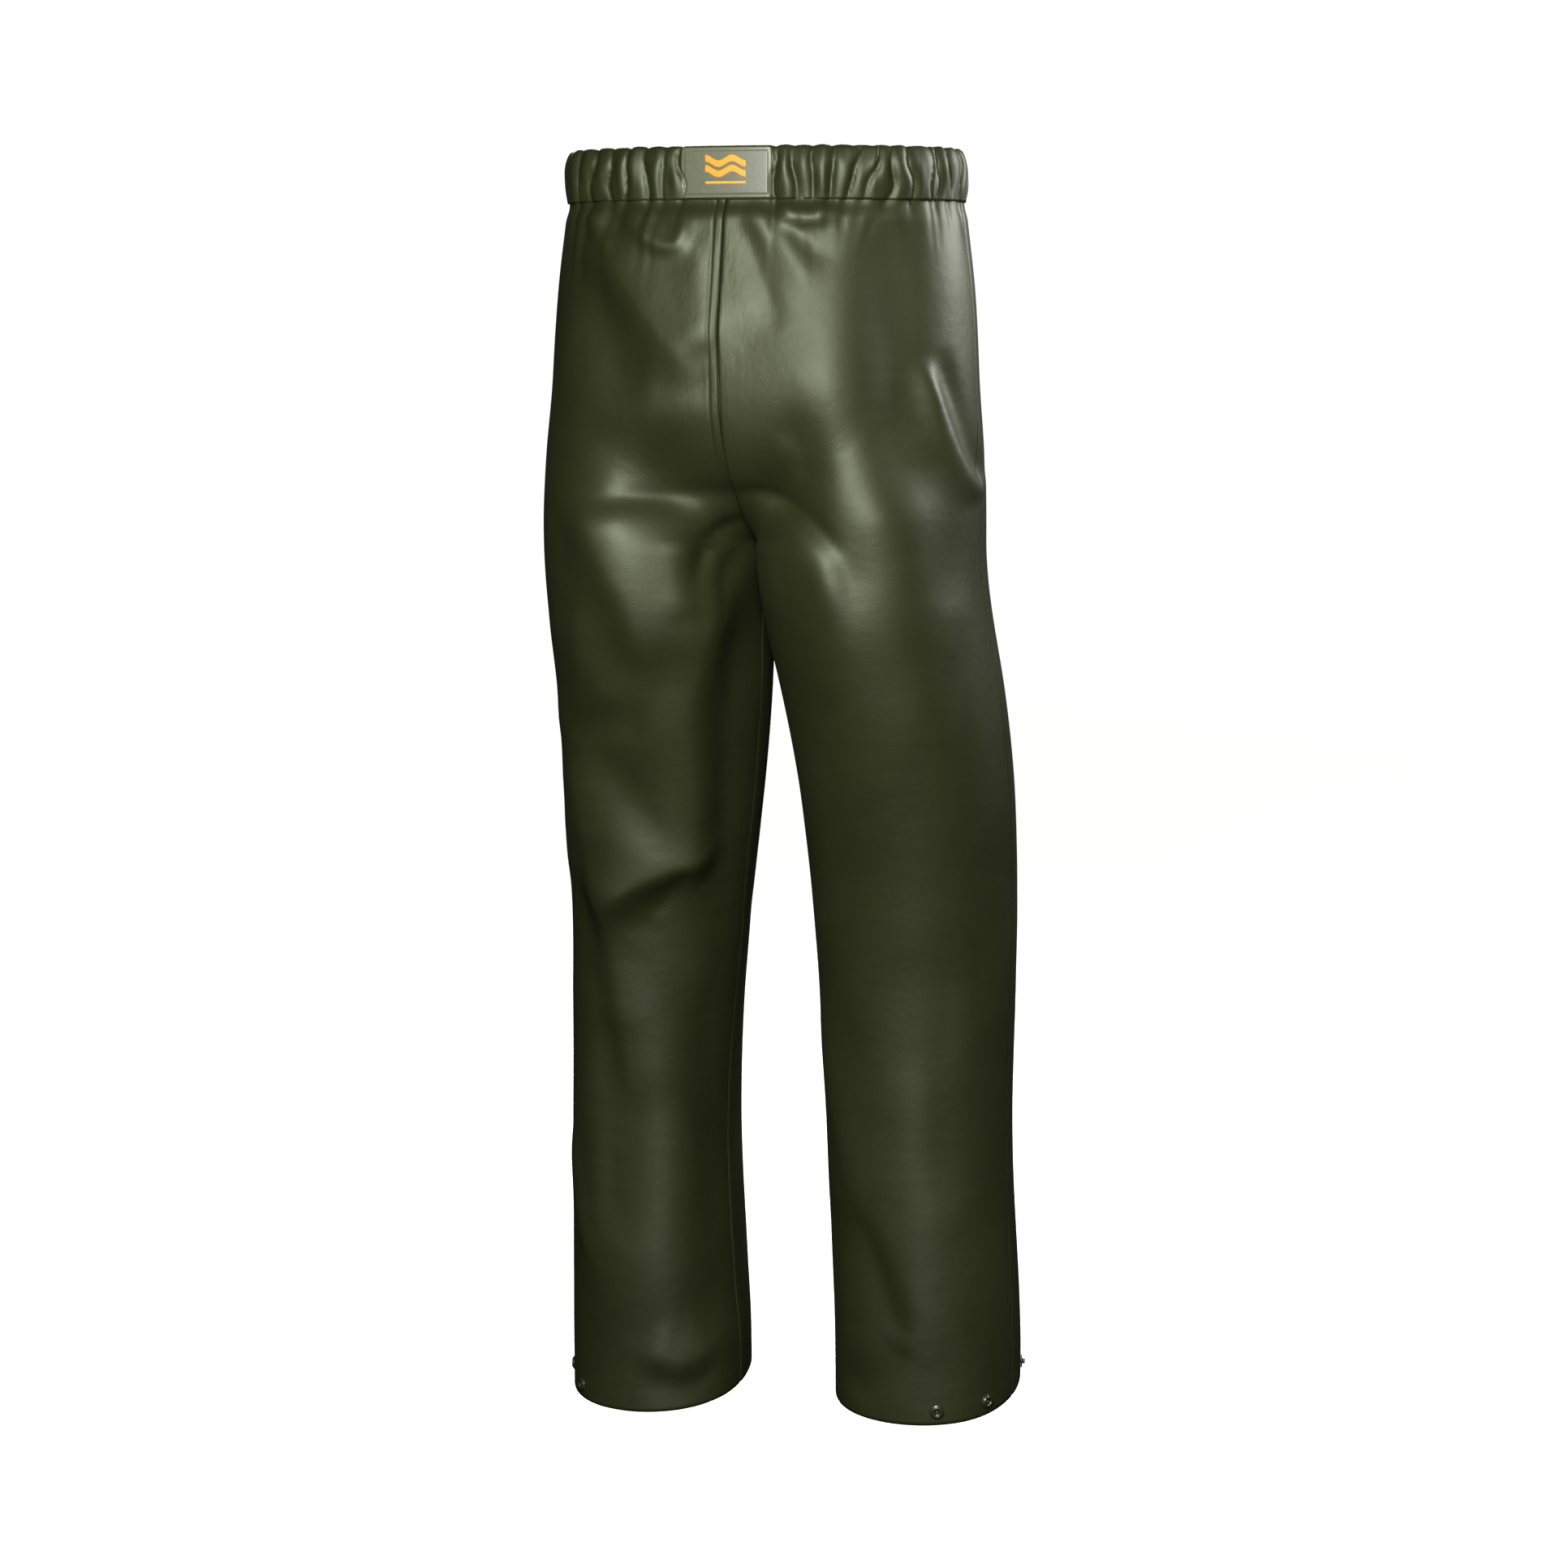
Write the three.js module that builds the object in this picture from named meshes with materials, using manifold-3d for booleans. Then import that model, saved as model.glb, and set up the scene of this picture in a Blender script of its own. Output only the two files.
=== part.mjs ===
// Waterproof trousers: coated stretch fabric cut as four panels, an elastic waistband with a label
// patch, taped seams inside, and leg hems that press snaps draw in.
// Millimetres. +Z is up, the front of the trousers faces -Y, and the wearer's left leg is at +X.
// The origin is the centre of the waist opening, level with the top of the waistband.
import * as THREE from "three";
import { mergeVertices } from "three/addons/utils/BufferGeometryUtils.js";
import Module from "manifold-3d";

const wasm = await Module();
wasm.setup();
const { degToRad, lerp, smoothstep } = THREE.MathUtils;

// ---- Driving dimensions ----
const fabricWall = 1.0; // the cloth's own thickness and its small wrinkles
const layerGap = 0.35; // between two layers of cloth, or between cloth and a fitting
const seamGap = 0.3; // between the edges of two panels that a seam joins
const boxiness = 0.14; // how far an oval section leans towards a rounded rectangle

const waistWidth = 338;
const waistDepth = 226;
const waistbandHeight = 43;
const seamAllowance = 8; // edge of a panel, held between the two walls of the waistband
const elasticThickness = 1.4;
const fullness = 7; // how far the gathered panels swell just under the waistband
const fullnessDrop = 16;

const hipWidth = 372;
const hipDepth = 270;
const hipDrop = 250; // below the top of the waistband
const hipBack = 4; // centre of the hips behind the centre of the waist
const rise = 325; // waistband top to crotch
const crotchCurve = 150; // height over which the seat seam curves under to the crotch
const crotchWidth = 376;
const crotchDepth = 252;

const inseam = 752;
const hemDrop = 13; // the hem is lower at the back of the leg and higher at the front
const legTwist = 12; // degrees that each hem is turned from the waist
const thighAt = 0.16; // shares of the inseam
const kneeAt = 0.45;
const calfAt = 0.72;
const thighDepth = 222;
const kneeDepth = 176;
const hemDepth = 166;
const legForward = 40; // centre of the knee and hem in front of the centre of the waist

// Distance of a leg's outer and inner side from the centre plane, at the thigh, knee, calf and hem,
// and how much lower its hem hangs.
const legs = {
  left: { side: 1, outer: [184, 187, 190, 190], inner: [3, 30, 41, 30], hang: 13 },
  right: { side: -1, outer: [203, 213, 210, 220], inner: [17, 38, 48, 57], hang: 0 },
};

const tapeWidth = 20;
const tapeThickness = 0.5;
const facingHeight = 25; // turned-up edge inside each hem
const labelWidth = 76;
const labelMargin = 1.5; // from the label to the waistband's top and bottom
const labelThickness = 0.9;

const snapRadius = 6.2;
const snapHeight = 2.6;
const snapBase = 1.1; // thickness of a fitting's flange
const studRadius = 2.1;
const postRadius = 1.5;
const postHoleGap = 0.4;
const snapFromHem = 12;
const snapColumns = [6.6, 8.4, 11.5]; // two sockets behind the side seam and a stud in front of it

const swingAxis = { y: -36, z: -385 }; // both legs swing about this line across the thighs
const swingRadius = 170; // the seat ends and the legs begin on a cylinder about that line
const swingGap = 0.7;

// ---- How finely the cloth is divided ----
const columns = 10; // per panel, so 20 from an inseam round the back, the side and the front
const seatRows = 4;
const crotchRows = 6;
const legRows = 11;

// ---- Materials ----
const paint = (color, roughness, metalness = 0) =>
  new THREE.MeshStandardMaterial({ color, roughness, metalness });
const materials = {
  fabric: paint(0x444a31, 0.42),
  backing: paint(0x3a3f2c, 0.9),
  elastic: paint(0x2b2e24, 0.85),
  tape: paint(0x585d4b, 0.5),
  label: paint(0x6f7464, 0.45),
  emblem: paint(0xf09a1c, 0.5),
  snap: paint(0x33382a, 0.35, 0.6),
};

// ---- The shape of the cloth ----

// A smooth curve through [place, value] stations, level at its two ends.
function through(stations, place) {
  const last = stations.length - 1;
  if (place <= stations[0][0]) return stations[0][1];
  if (place >= stations[last][0]) return stations[last][1];
  const slope = (k) =>
    k === 0 || k === last
      ? 0
      : (stations[k + 1][1] - stations[k - 1][1]) / (stations[k + 1][0] - stations[k - 1][0]);
  const i = stations.findIndex(([p]) => p > place) - 1;
  const [[start, from], [end, to]] = [stations[i], stations[i + 1]];
  const s = (place - start) / (end - start);
  return (
    (2 * s ** 3 - 3 * s ** 2 + 1) * from +
    (3 * s ** 2 - 2 * s ** 3) * to +
    (s ** 3 - 2 * s ** 2 + s) * (end - start) * slope(i) +
    (s ** 3 - s ** 2) * (end - start) * slope(i + 1)
  );
}

const oval = (angle, width, depth) => [
  width * Math.sin(angle),
  depth * Math.cos(angle) * (1 + boxiness * Math.sin(angle) ** 2),
];

// Half widths and half depths, by distance below the top of the waistband. The panels start inside it.
const tuck = fabricWall + layerGap;
const seatStations = (waist, hips, crotch) => [
  [waistbandHeight, waist / 2 - tuck],
  [waistbandHeight + fullnessDrop, waist / 2 + fullness],
  [hipDrop, hips / 2],
  [rise, crotch / 2],
];
const seatWidths = seatStations(waistWidth, hipWidth, crotchWidth);
const seatDepths = seatStations(waistDepth, hipDepth, crotchDepth);
const seatCentres = [[waistbandHeight, 0], [hipDrop, hipBack], [rise, 0]];

// One half of the seat's oval. turn runs from the centre back (0) over the side to the centre front (1).
function seatPoint(turn, drop) {
  const [x, y] = oval(Math.PI * turn, through(seatWidths, drop), through(seatDepths, drop));
  return [x, through(seatCentres, drop) + y];
}

// One leg's oval. turn runs from the inseam (0) round the back, the side (0.5) and the front (1).
function legPoint(leg, turn, along) {
  const across = (start, [thigh, knee, calf, hem]) =>
    through([[0, start], [thighAt, thigh], [kneeAt, knee], [calfAt, calf], [1, hem]], along);
  const outer = across(crotchWidth / 2, leg.outer);
  const inner = across(0, leg.inner);
  const depths = [[0, crotchDepth], [thighAt, thighDepth], [kneeAt, kneeDepth], [1, hemDepth]];
  const forward = through([[0, 0], [kneeAt, legForward], [1, legForward]], along);
  const twist = degToRad(legTwist) * leg.side * Math.max(along, 0);
  const [y, x] = oval(2 * Math.PI * turn + twist, through(depths, along) / 2, (outer - inner) / 2);
  return [(outer + inner) / 2 - x, y - forward];
}

// A point of the cloth's outer surface, by turn and by drop below the top of the waistband.
function surface(leg, turn, drop) {
  const along = (drop - rise) / inseam;
  const [legX, legY] = legPoint(leg, turn, along);
  if (along >= 0) {
    const lower = hemDrop * Math.sin(2 * Math.PI * turn) + leg.hang;
    return new THREE.Vector3(leg.side * legX, legY, -drop - lower * smoothstep(along, 0.4, 1));
  }
  // Above the crotch each leg opens into its half of the seat: in a quarter of an ellipse along the
  // seat seam, and gently everywhere else.
  const above = Math.min((rise - drop) / crotchCurve, 1);
  const seamShare = Math.max(Math.cos(2 * Math.PI * turn), 0) ** 1.5;
  const opening = lerp(smoothstep(above, 0, 1), Math.sqrt(1 - (1 - above) ** 2), seamShare);
  const [seatX, seatY] = seatPoint(turn, drop);
  return new THREE.Vector3(leg.side * lerp(legX, seatX, opening), lerp(legY, seatY, opening), -drop);
}

// ---- The grid of columns and rows that every piece of cloth follows ----
const evenly = (from, to, steps) =>
  Array.from({ length: steps }, (_, i) => lerp(from, to, (i + 1) / steps));
const rows = [
  waistbandHeight - seamAllowance,
  waistbandHeight,
  waistbandHeight + fullnessDrop,
  ...evenly(waistbandHeight + fullnessDrop, rise - crotchCurve, seatRows),
  ...evenly(90, 0, crotchRows).map((angle) => rise - crotchCurve * (1 - Math.cos(degToRad(angle)))),
  ...evenly(rise, rise + inseam, legRows),
];
const lastRow = rows.length - 1;
const gatherRow = 2; // where the cloth stands free of the waistband
const crotchRow = lastRow - legRows;
const rowAbove = (edge) => lastRow - edge / (inseam / legRows); // a row that far above the hem

// A corner of the grid, moved inwards by a depth.
function corner(leg, column, row, depth) {
  const turn = column / (2 * columns);
  const drop = rows[row];
  const step = 1e-3;
  const across = surface(leg, turn + step, drop).sub(surface(leg, turn - step, drop));
  const down = surface(leg, turn, drop + step).sub(surface(leg, turn, drop - step));
  const outwards = across.cross(down).normalize().multiplyScalar(leg.side);
  return surface(leg, turn, drop).addScaledVector(outwards, -depth);
}

// A point on the grid's flat triangles, at any column and row, moved inwards by a depth.
function onCloth(leg, column, row, depth) {
  const i = Math.floor(column);
  const j = Math.min(Math.floor(row), lastRow - 1);
  const [u, v] = [column - i, row - j];
  const upper = u + v <= 1;
  const [ci, cj] = upper ? [i, j] : [i + 1, j + 1];
  const right = corner(leg, i + 1, j, depth);
  const below = corner(leg, i, j + 1, depth);
  return corner(leg, ci, cj, depth)
    .multiplyScalar(upper ? 1 - u - v : u + v - 1)
    .addScaledVector(right, upper ? u : 1 - v)
    .addScaledVector(below, upper ? v : 1 - u);
}

// ---- Closed meshes and solids ----

// Keeps only positions, shares the vertices and turns the faces outwards.
function closed(geometry) {
  for (const name of Object.keys(geometry.attributes)) {
    if (name !== "position") geometry.deleteAttribute(name);
  }
  const merged = mergeVertices(geometry, 1e-4);
  const index = merged.index.array;
  const at = (i) => new THREE.Vector3().fromBufferAttribute(merged.attributes.position, index[i]);
  let volume = 0;
  for (let i = 0; i < index.length; i += 3) volume += at(i).dot(at(i + 1).cross(at(i + 2)));
  if (volume < 0) merged.setIndex(new THREE.BufferAttribute(index.slice().reverse(), 1));
  return merged;
}

// A slab of cloth, with across by down squares on each face. at(i, j, face) gives the corners of the
// outer face (0) and the inner face (1). A ring joins its last column to its first.
function slab(across, down, at, ring = false) {
  const points = [];
  const index = [];
  const id = (i, j, face) => (face * (down + 1) + j) * (across + 1) + i;
  const square = (a, b, c, d) => index.push(a, b, d, b, c, d);
  for (const face of [0, 1]) {
    for (let j = 0; j <= down; j++) {
      for (let i = 0; i <= across; i++) points.push(at(ring ? i % across : i, j, face));
    }
  }
  for (let i = 0; i < across; i++) {
    for (let j = 0; j < down; j++) {
      square(id(i, j, 0), id(i, j + 1, 0), id(i + 1, j + 1, 0), id(i + 1, j, 0));
      index.push(id(i, j, 1), id(i + 1, j, 1), id(i, j + 1, 1));
      index.push(id(i + 1, j, 1), id(i + 1, j + 1, 1), id(i, j + 1, 1));
    }
    square(id(i, 0, 1), id(i, 0, 0), id(i + 1, 0, 0), id(i + 1, 0, 1));
    square(id(i, down, 0), id(i, down, 1), id(i + 1, down, 1), id(i + 1, down, 0));
  }
  for (let j = 0; j < down && !ring; j++) {
    square(id(0, j, 1), id(0, j + 1, 1), id(0, j + 1, 0), id(0, j, 0));
    square(id(across, j, 0), id(across, j + 1, 0), id(across, j + 1, 1), id(across, j, 1));
  }
  return closed(new THREE.BufferGeometry().setFromPoints(points).setIndex(index));
}

function reshape(geometry, move) {
  const position = geometry.attributes.position;
  for (let i = 0; i < position.count; i++) {
    const moved = move(position.getX(i), position.getY(i), position.getZ(i));
    position.setXYZ(i, moved.x, moved.y, moved.z);
  }
  return closed(geometry);
}

const toSolid = (geometry) =>
  new wasm.Manifold(
    new wasm.Mesh({
      numProp: 3,
      vertProperties: geometry.attributes.position.array,
      triVerts: new Uint32Array(geometry.index.array),
    }),
  );

function fromSolid(solid) {
  const mesh = solid.getMesh();
  return new THREE.BufferGeometry()
    .setAttribute("position", new THREE.BufferAttribute(new Float32Array(mesh.vertProperties), 3))
    .setIndex(new THREE.BufferAttribute(new Uint32Array(mesh.triVerts), 1));
}

// ---- The zones that part the cloth: above and below the swing cylinder, and left and right ----
const zoneSize = 3000;
const block = (x, z) =>
  toSolid(closed(new THREE.BoxGeometry(zoneSize, zoneSize, zoneSize).translate(x, 0, z)));
const drum = (radius) => {
  const cylinder = new THREE.CylinderGeometry(radius, radius, zoneSize, 96);
  return toSolid(closed(cylinder.rotateZ(Math.PI / 2).translate(0, swingAxis.y, swingAxis.z)));
};
const seatZone = block(0, swingAxis.z + zoneSize / 2).add(drum(swingRadius - swingGap / 2));
const legZone = block(0, swingAxis.z - zoneSize / 2).subtract(drum(swingRadius + swingGap / 2));
const halfZone = (side) => block((side * (zoneSize + seamGap)) / 2, 0);

// ---- Pieces of cloth ----

// Width of one column beside a given column, measured along a row.
const columnWidth = (leg, column, row) =>
  onCloth(leg, column, row, 0).distanceTo(onCloth(leg, column + 1, row, 0));

function panel(leg, from) {
  const at = (i, j, face) => {
    const clear = seamGap / 2 / columnWidth(leg, from, j);
    const column = THREE.MathUtils.clamp(from + i, from + clear, from + columns - clear);
    return onCloth(leg, column, j, face * fabricWall);
  };
  return toSolid(slab(columns, lastRow, at)).intersect(halfZone(leg.side));
}

const tapeDepth = fabricWall + layerGap;

// Tape pressed over a seam's inner side, from one row to another.
function seamTape(leg, column, from, to) {
  const marks = [from, ...rows.keys(), to].filter((row) => row >= from && row <= to);
  const along = [...new Set(marks)].sort((a, b) => a - b);
  const at = (i, j, face) => {
    const half = tapeWidth / 2 / columnWidth(leg, column, along[j]);
    return onCloth(leg, column + (i - 1) * half, along[j], tapeDepth + face * tapeThickness);
  };
  return toSolid(slab(2, along.length - 1, at));
}

// Tape over the seat seam. It lies across the centre plane, so one half mirrors the other.
function seatTape(column, from, to) {
  const inwards = column === 0 ? 1 : -1;
  const at = (i, j, face) => {
    const depth = tapeDepth + face * tapeThickness;
    if (i === 1) {
      // Where the halves meet at an angle, their inner faces meet deeper than each one lies.
      const fold = onCloth(legs.left, column, from + j, 0);
      const inner = onCloth(legs.left, column, from + j, depth).sub(fold).setX(0);
      return fold.setX(0).addScaledVector(inner, depth ** 2 / inner.lengthSq());
    }
    const half = tapeWidth / 2 / columnWidth(legs.left, 0, from + j);
    const edge = onCloth(legs.left, column + inwards * half, from + j, depth);
    return i === 0 ? edge : edge.setX(-edge.x);
  };
  return slab(2, to - from, at);
}

// The edge of the hem, turned up inside the leg.
function hemFacing(leg) {
  const [bottom, top] = [rowAbove(0.4), rowAbove(facingHeight)];
  const at = (i, j, face) => onCloth(leg, i, j ? bottom : top, tapeDepth + face * fabricWall);
  return toSolid(slab(2 * columns, 1, at, true));
}

// ---- Press snaps: each stands on the cloth's outer face at z = 0 and points outwards ----
const lathe = (outline, segments = 16) => {
  const points = outline.map(([radius, height]) => new THREE.Vector2(radius, height));
  return closed(new THREE.LatheGeometry(points, segments).rotateX(Math.PI / 2));
};
const clothBelow = 2 * fabricWall + 2 * layerGap; // panel, facing and the gaps on both sides of it
const bore = postRadius + layerGap;
const flange = layerGap + snapBase;

const socket = () =>
  lathe([
    [bore, layerGap],
    [snapRadius, layerGap],
    [snapRadius, snapHeight - 0.6],
    [snapRadius - 0.6, snapHeight],
    [studRadius + 0.8, snapHeight],
    [studRadius + 0.5, flange],
    [bore, flange],
    [bore, layerGap],
  ]);
const stud = () =>
  lathe([
    [bore, layerGap],
    [snapRadius - 0.5, layerGap],
    [snapRadius - 0.5, flange],
    [studRadius + 0.3, flange],
    [studRadius, snapHeight],
    [studRadius + 0.4, snapHeight + 0.8],
    [bore, snapHeight + 1.1],
    [bore, layerGap],
  ]);
const cap = () =>
  lathe([
    [0, -clothBelow - snapBase],
    [snapRadius - 1.2, -clothBelow - snapBase],
    [snapRadius, -clothBelow - snapBase / 2],
    [snapRadius, -clothBelow],
    [postRadius, -clothBelow],
    [postRadius, flange],
    [0, flange],
  ]);

function snapPlace(leg, column) {
  const row = rowAbove(snapFromHem);
  const at = onCloth(leg, column, row, 0);
  const outwards = at.clone().sub(onCloth(leg, column, row, 1)).normalize();
  const turned = new THREE.Quaternion().setFromUnitVectors(new THREE.Vector3(0, 0, 1), outwards);
  return new THREE.Matrix4().compose(at, turned, new THREE.Vector3(1, 1, 1));
}

function postHole(place) {
  const radius = postRadius + postHoleGap;
  const hole = new THREE.CylinderGeometry(radius, radius, 4 * clothBelow, 12);
  return toSolid(closed(hole.rotateX(Math.PI / 2).applyMatrix4(place)));
}

// ---- The trousers ----
const trousers = new THREE.Group();

function add(name, geometry, material) {
  const mesh = new THREE.Mesh(geometry, materials[material]);
  mesh.name = name;
  trousers.add(mesh);
}

function addSplit(name, solid, material) {
  add(`${name}_upper`, fromSolid(solid.intersect(seatZone)), material);
  add(`${name}_lower`, fromSolid(solid.intersect(legZone)), material);
}

for (const [name, leg] of Object.entries(legs)) {
  const places = snapColumns.map((column) => snapPlace(leg, column));
  const pierced = (solid) => places.reduce((made, place) => made.subtract(postHole(place)), solid);

  addSplit(`${name}_back_panel`, pierced(panel(leg, 0)), "fabric");
  addSplit(`${name}_front_panel`, pierced(panel(leg, columns)), "fabric");
  const tapeEnd = rowAbove(facingHeight + 2);
  addSplit(`${name}_side_tape`, seamTape(leg, columns, gatherRow, tapeEnd), "tape");
  addSplit(`${name}_inseam_tape`, seamTape(leg, 0, crotchRow + 0.5, tapeEnd), "tape");
  add(`${name}_hem_facing`, fromSolid(pierced(hemFacing(leg))), "backing");

  places.forEach((place, n) => {
    const isStud = n === snapColumns.length - 1;
    const fitting = isStud ? "stud" : `socket_${n + 1}`;
    add(`${name}_snap_${fitting}`, (isStud ? stud() : socket()).applyMatrix4(place), "snap");
    add(`${name}_snap_cap_${n + 1}`, cap().applyMatrix4(place), "snap");
  });
}
add("centre_back_tape", seatTape(0, gatherRow, gatherRow + seatRows + 1), "tape");
add("centre_front_tape", seatTape(2 * columns, gatherRow, gatherRow + seatRows + 1), "tape");

// ---- Waistband: a casing folded over the elastic, open below, where it holds the panels' edges ----

// The waistband's oval, moved outwards. turn runs once round from the centre back.
function waistPoint(turn, outwards, up) {
  const at = (t) => new THREE.Vector2(...oval(2 * Math.PI * t, waistWidth / 2, waistDepth / 2));
  const along = at(turn + 1e-4).sub(at(turn - 1e-4)).normalize();
  return new THREE.Vector3(at(turn).x - along.y * outwards, at(turn).y + along.x * outwards, up);
}

// A band round the waist, by the corners of its section as [outwards, up].
function waistRing(section) {
  const steps = 4 * columns;
  const hub = 100;
  const profile = [...section, section[0]].map(([out, up]) => new THREE.Vector2(hub + out, up));
  return reshape(new THREE.LatheGeometry(profile, steps), (x, y, z) => {
    const step = Math.round((steps * Math.atan2(x, z)) / (2 * Math.PI));
    return waistPoint(((step + steps) % steps) / steps, Math.hypot(x, z) - hub, y);
  });
}

const slot = elasticThickness + 2 * layerGap;
const innerWall = -fabricWall - slot;
add(
  "waistband_casing",
  waistRing([
    [0, 0],
    [0, -waistbandHeight],
    [-fabricWall, -waistbandHeight],
    [-fabricWall, -fabricWall],
    [innerWall, -fabricWall],
    [innerWall, -waistbandHeight],
    [innerWall - fabricWall, -waistbandHeight],
    [innerWall - fabricWall, 0],
  ]),
  "fabric",
);

const elasticOut = -fabricWall - layerGap;
const elasticBottom = -(waistbandHeight - seamAllowance - layerGap);
add(
  "waist_elastic",
  waistRing([
    [elasticOut, elasticOut],
    [elasticOut, elasticBottom],
    [elasticOut - elasticThickness, elasticBottom],
    [elasticOut - elasticThickness, elasticOut],
  ]),
  "elastic",
);

// ---- Label patch with a plain mark of two waves and a bar, at the centre back of the waistband ----

// Bends a flat shape round the centre back. x runs across the label and y up from its middle.
const labelOut = 2 * layerGap;
const bend = (geometry, outwards) =>
  reshape(geometry, (x, y, z) =>
    waistPoint(-x / (Math.PI * waistWidth), outwards + z, y - waistbandHeight / 2),
  );
const labelHeight = waistbandHeight - 2 * labelMargin;
const strip = (width, height, thickness, segments) =>
  new THREE.BoxGeometry(width, height, thickness, segments, 1, 1).translate(0, 0, thickness / 2);

add("label_patch", bend(strip(labelWidth, labelHeight, labelThickness, 5), labelOut), "label");

const markOut = labelOut + labelThickness + layerGap;
const markThickness = 0.4;
const markWidth = 34;
const waveThickness = 5.5;
const waveHeight = 4.5;
const waveUps = [9, 1];
const barUp = -8;
waveUps.forEach((up, n) => {
  const wave = reshape(strip(markWidth, waveThickness, markThickness, 18), (x, y, z) => {
    const lift = (waveHeight / 2) * Math.sin((3 * Math.PI * x) / markWidth);
    return new THREE.Vector3(x, y + up + lift, z);
  });
  add(`label_wave_${n + 1}`, bend(wave, markOut), "emblem");
});
const bar = strip(markWidth, 2, markThickness, 3).translate(0, barUp, 0);
add("label_bar", bend(bar, markOut), "emblem");

export default trousers;
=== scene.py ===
# %% [markdown]
# # Waterproof pull-on trousers
# Rain trousers of coated stretch knit: four long panels, welded seams with tape inside, a gathered
# elastic waistband with a patch at the back, and hems that press snaps draw in. The CAD part fixes
# the sizes and what moves. Here each plain CAD solid is replaced by cloth with its folds, and each
# finish gets its own material.

import math

import bmesh
import bpy
import numpy as np
from mathutils import Matrix, Vector, noise


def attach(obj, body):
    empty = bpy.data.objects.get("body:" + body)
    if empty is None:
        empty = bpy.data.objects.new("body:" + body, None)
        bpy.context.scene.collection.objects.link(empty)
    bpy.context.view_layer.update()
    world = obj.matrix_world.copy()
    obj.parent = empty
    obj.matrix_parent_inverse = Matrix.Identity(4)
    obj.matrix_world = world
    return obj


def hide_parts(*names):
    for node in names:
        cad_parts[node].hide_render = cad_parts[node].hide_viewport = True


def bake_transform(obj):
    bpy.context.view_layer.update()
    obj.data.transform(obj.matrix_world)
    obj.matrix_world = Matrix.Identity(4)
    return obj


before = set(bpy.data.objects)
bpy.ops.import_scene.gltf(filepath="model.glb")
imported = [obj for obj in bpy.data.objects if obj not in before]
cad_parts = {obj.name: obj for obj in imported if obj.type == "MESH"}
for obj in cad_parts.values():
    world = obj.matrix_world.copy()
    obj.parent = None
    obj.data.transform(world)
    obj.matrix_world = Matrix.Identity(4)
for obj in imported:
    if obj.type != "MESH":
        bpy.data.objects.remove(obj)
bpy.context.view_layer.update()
MM = 0.001

# %% [markdown]
# ## Camera
# The trousers are seen from behind, a little from the wearer's right, with the lens slightly under
# waist height. The camera comes first, because the folds of the back are placed on a chart whose
# "across" direction is level and square to this view.

# %% Camera
VIEW_AZIMUTH = math.radians(196)
CAMERA_DISTANCE = 2.65
CAMERA_HEIGHT = -0.12
LENS = 71.05
AIM = Vector((-0.0149, -0.0043, -0.5378))
towards_camera = Vector((math.sin(VIEW_AZIMUTH), -math.cos(VIEW_AZIMUTH), 0))
across_view = Vector((math.cos(VIEW_AZIMUTH), math.sin(VIEW_AZIMUTH), 0))

camera_data = bpy.data.cameras.new("camera")
camera_data.lens = LENS
camera = bpy.data.objects.new("camera", camera_data)
camera.location = AIM + towards_camera * CAMERA_DISTANCE
camera.location.z = CAMERA_HEIGHT
camera.rotation_euler = (AIM - camera.location).to_track_quat("-Z", "Y").to_euler()
bpy.context.scene.collection.objects.link(camera)
bpy.context.scene.camera = camera
print("camera at", [round(v, 3) for v in camera.location])

# %% [markdown]
# ## The cut of the trousers
# The cloth's outer surface is one smooth function of two numbers: turn, which runs round a leg from
# the inseam (0) over the back, the side seam (0.5) and the front to the inseam again (1), and drop,
# the distance below the top of the waistband in millimetres. Above the crotch the same turn runs
# round half of the seat. The sizes are those of the CAD part.

# %% Sizes of the cut, in millimetres
WAIST_WIDTH, WAIST_DEPTH = 338, 226
BAND_HEIGHT = 43
TUCK = 1.35  # the panels' edges lie this far inside the face of the waistband
SEAM_ALLOWANCE = 7
FULLNESS = 7  # how far the gathered cloth swells out below the waistband
FULLEST = BAND_HEIGHT + 16
RISE, INSEAM = 325, 752
HEM = RISE + INSEAM
CROTCH_CURVE = 150  # height over which the seat seam curves in to the crotch
CROTCH_WIDTH, CROTCH_DEPTH = 376, 252
BOXINESS = 0.14  # how far an oval's four shoulders stand out
HEM_DROP = 13  # the hem hangs this much lower at the back, and as much higher in front
LEG_TWIST = 12  # degrees that the seams have moved round each leg at its hem, the same way on both
HIP = 250
# half widths, half depths and middles of the seat, as (drop, value)
SEAT_WIDTHS = [(BAND_HEIGHT, WAIST_WIDTH / 2 - TUCK), (FULLEST, WAIST_WIDTH / 2 + FULLNESS / 3),
               (120, 179), (HIP, 186), (RISE, CROTCH_WIDTH / 2)]
SEAT_DEPTHS = [(BAND_HEIGHT, WAIST_DEPTH / 2 - TUCK), (FULLEST, WAIST_DEPTH / 2 + FULLNESS),
               (HIP, 135), (RISE, CROTCH_DEPTH / 2)]
SEAT_CENTRES = [(BAND_HEIGHT, 0), (HIP, 4), (RISE, 0)]
CROTCH, THIGH, KNEE, CALF, LEG_END = 0, 0.16, 0.45, 0.72, 1  # shares of the inseam
LEG_SHARES = (CROTCH, THIGH, KNEE, CALF, LEG_END)
LEG_DEPTHS = [(CROTCH, CROTCH_DEPTH), (THIGH, 222), (KNEE, 176), (LEG_END, 166)]
LEG_FORWARD = [(CROTCH, 0), (KNEE, 40), (LEG_END, 40)]
# outer and inner: distances from the middle at the leg shares. hang: how much lower that whole hem is
LEGS = {
    "left": {"side": 1, "outer": (188, 184, 187, 190, 190), "inner": (0, 3, 30, 41, 30), "hang": 13},
    "right": {"side": -1, "outer": (188, 203, 213, 210, 220), "inner": (0, 17, 38, 48, 57), "hang": 0},
}


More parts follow.
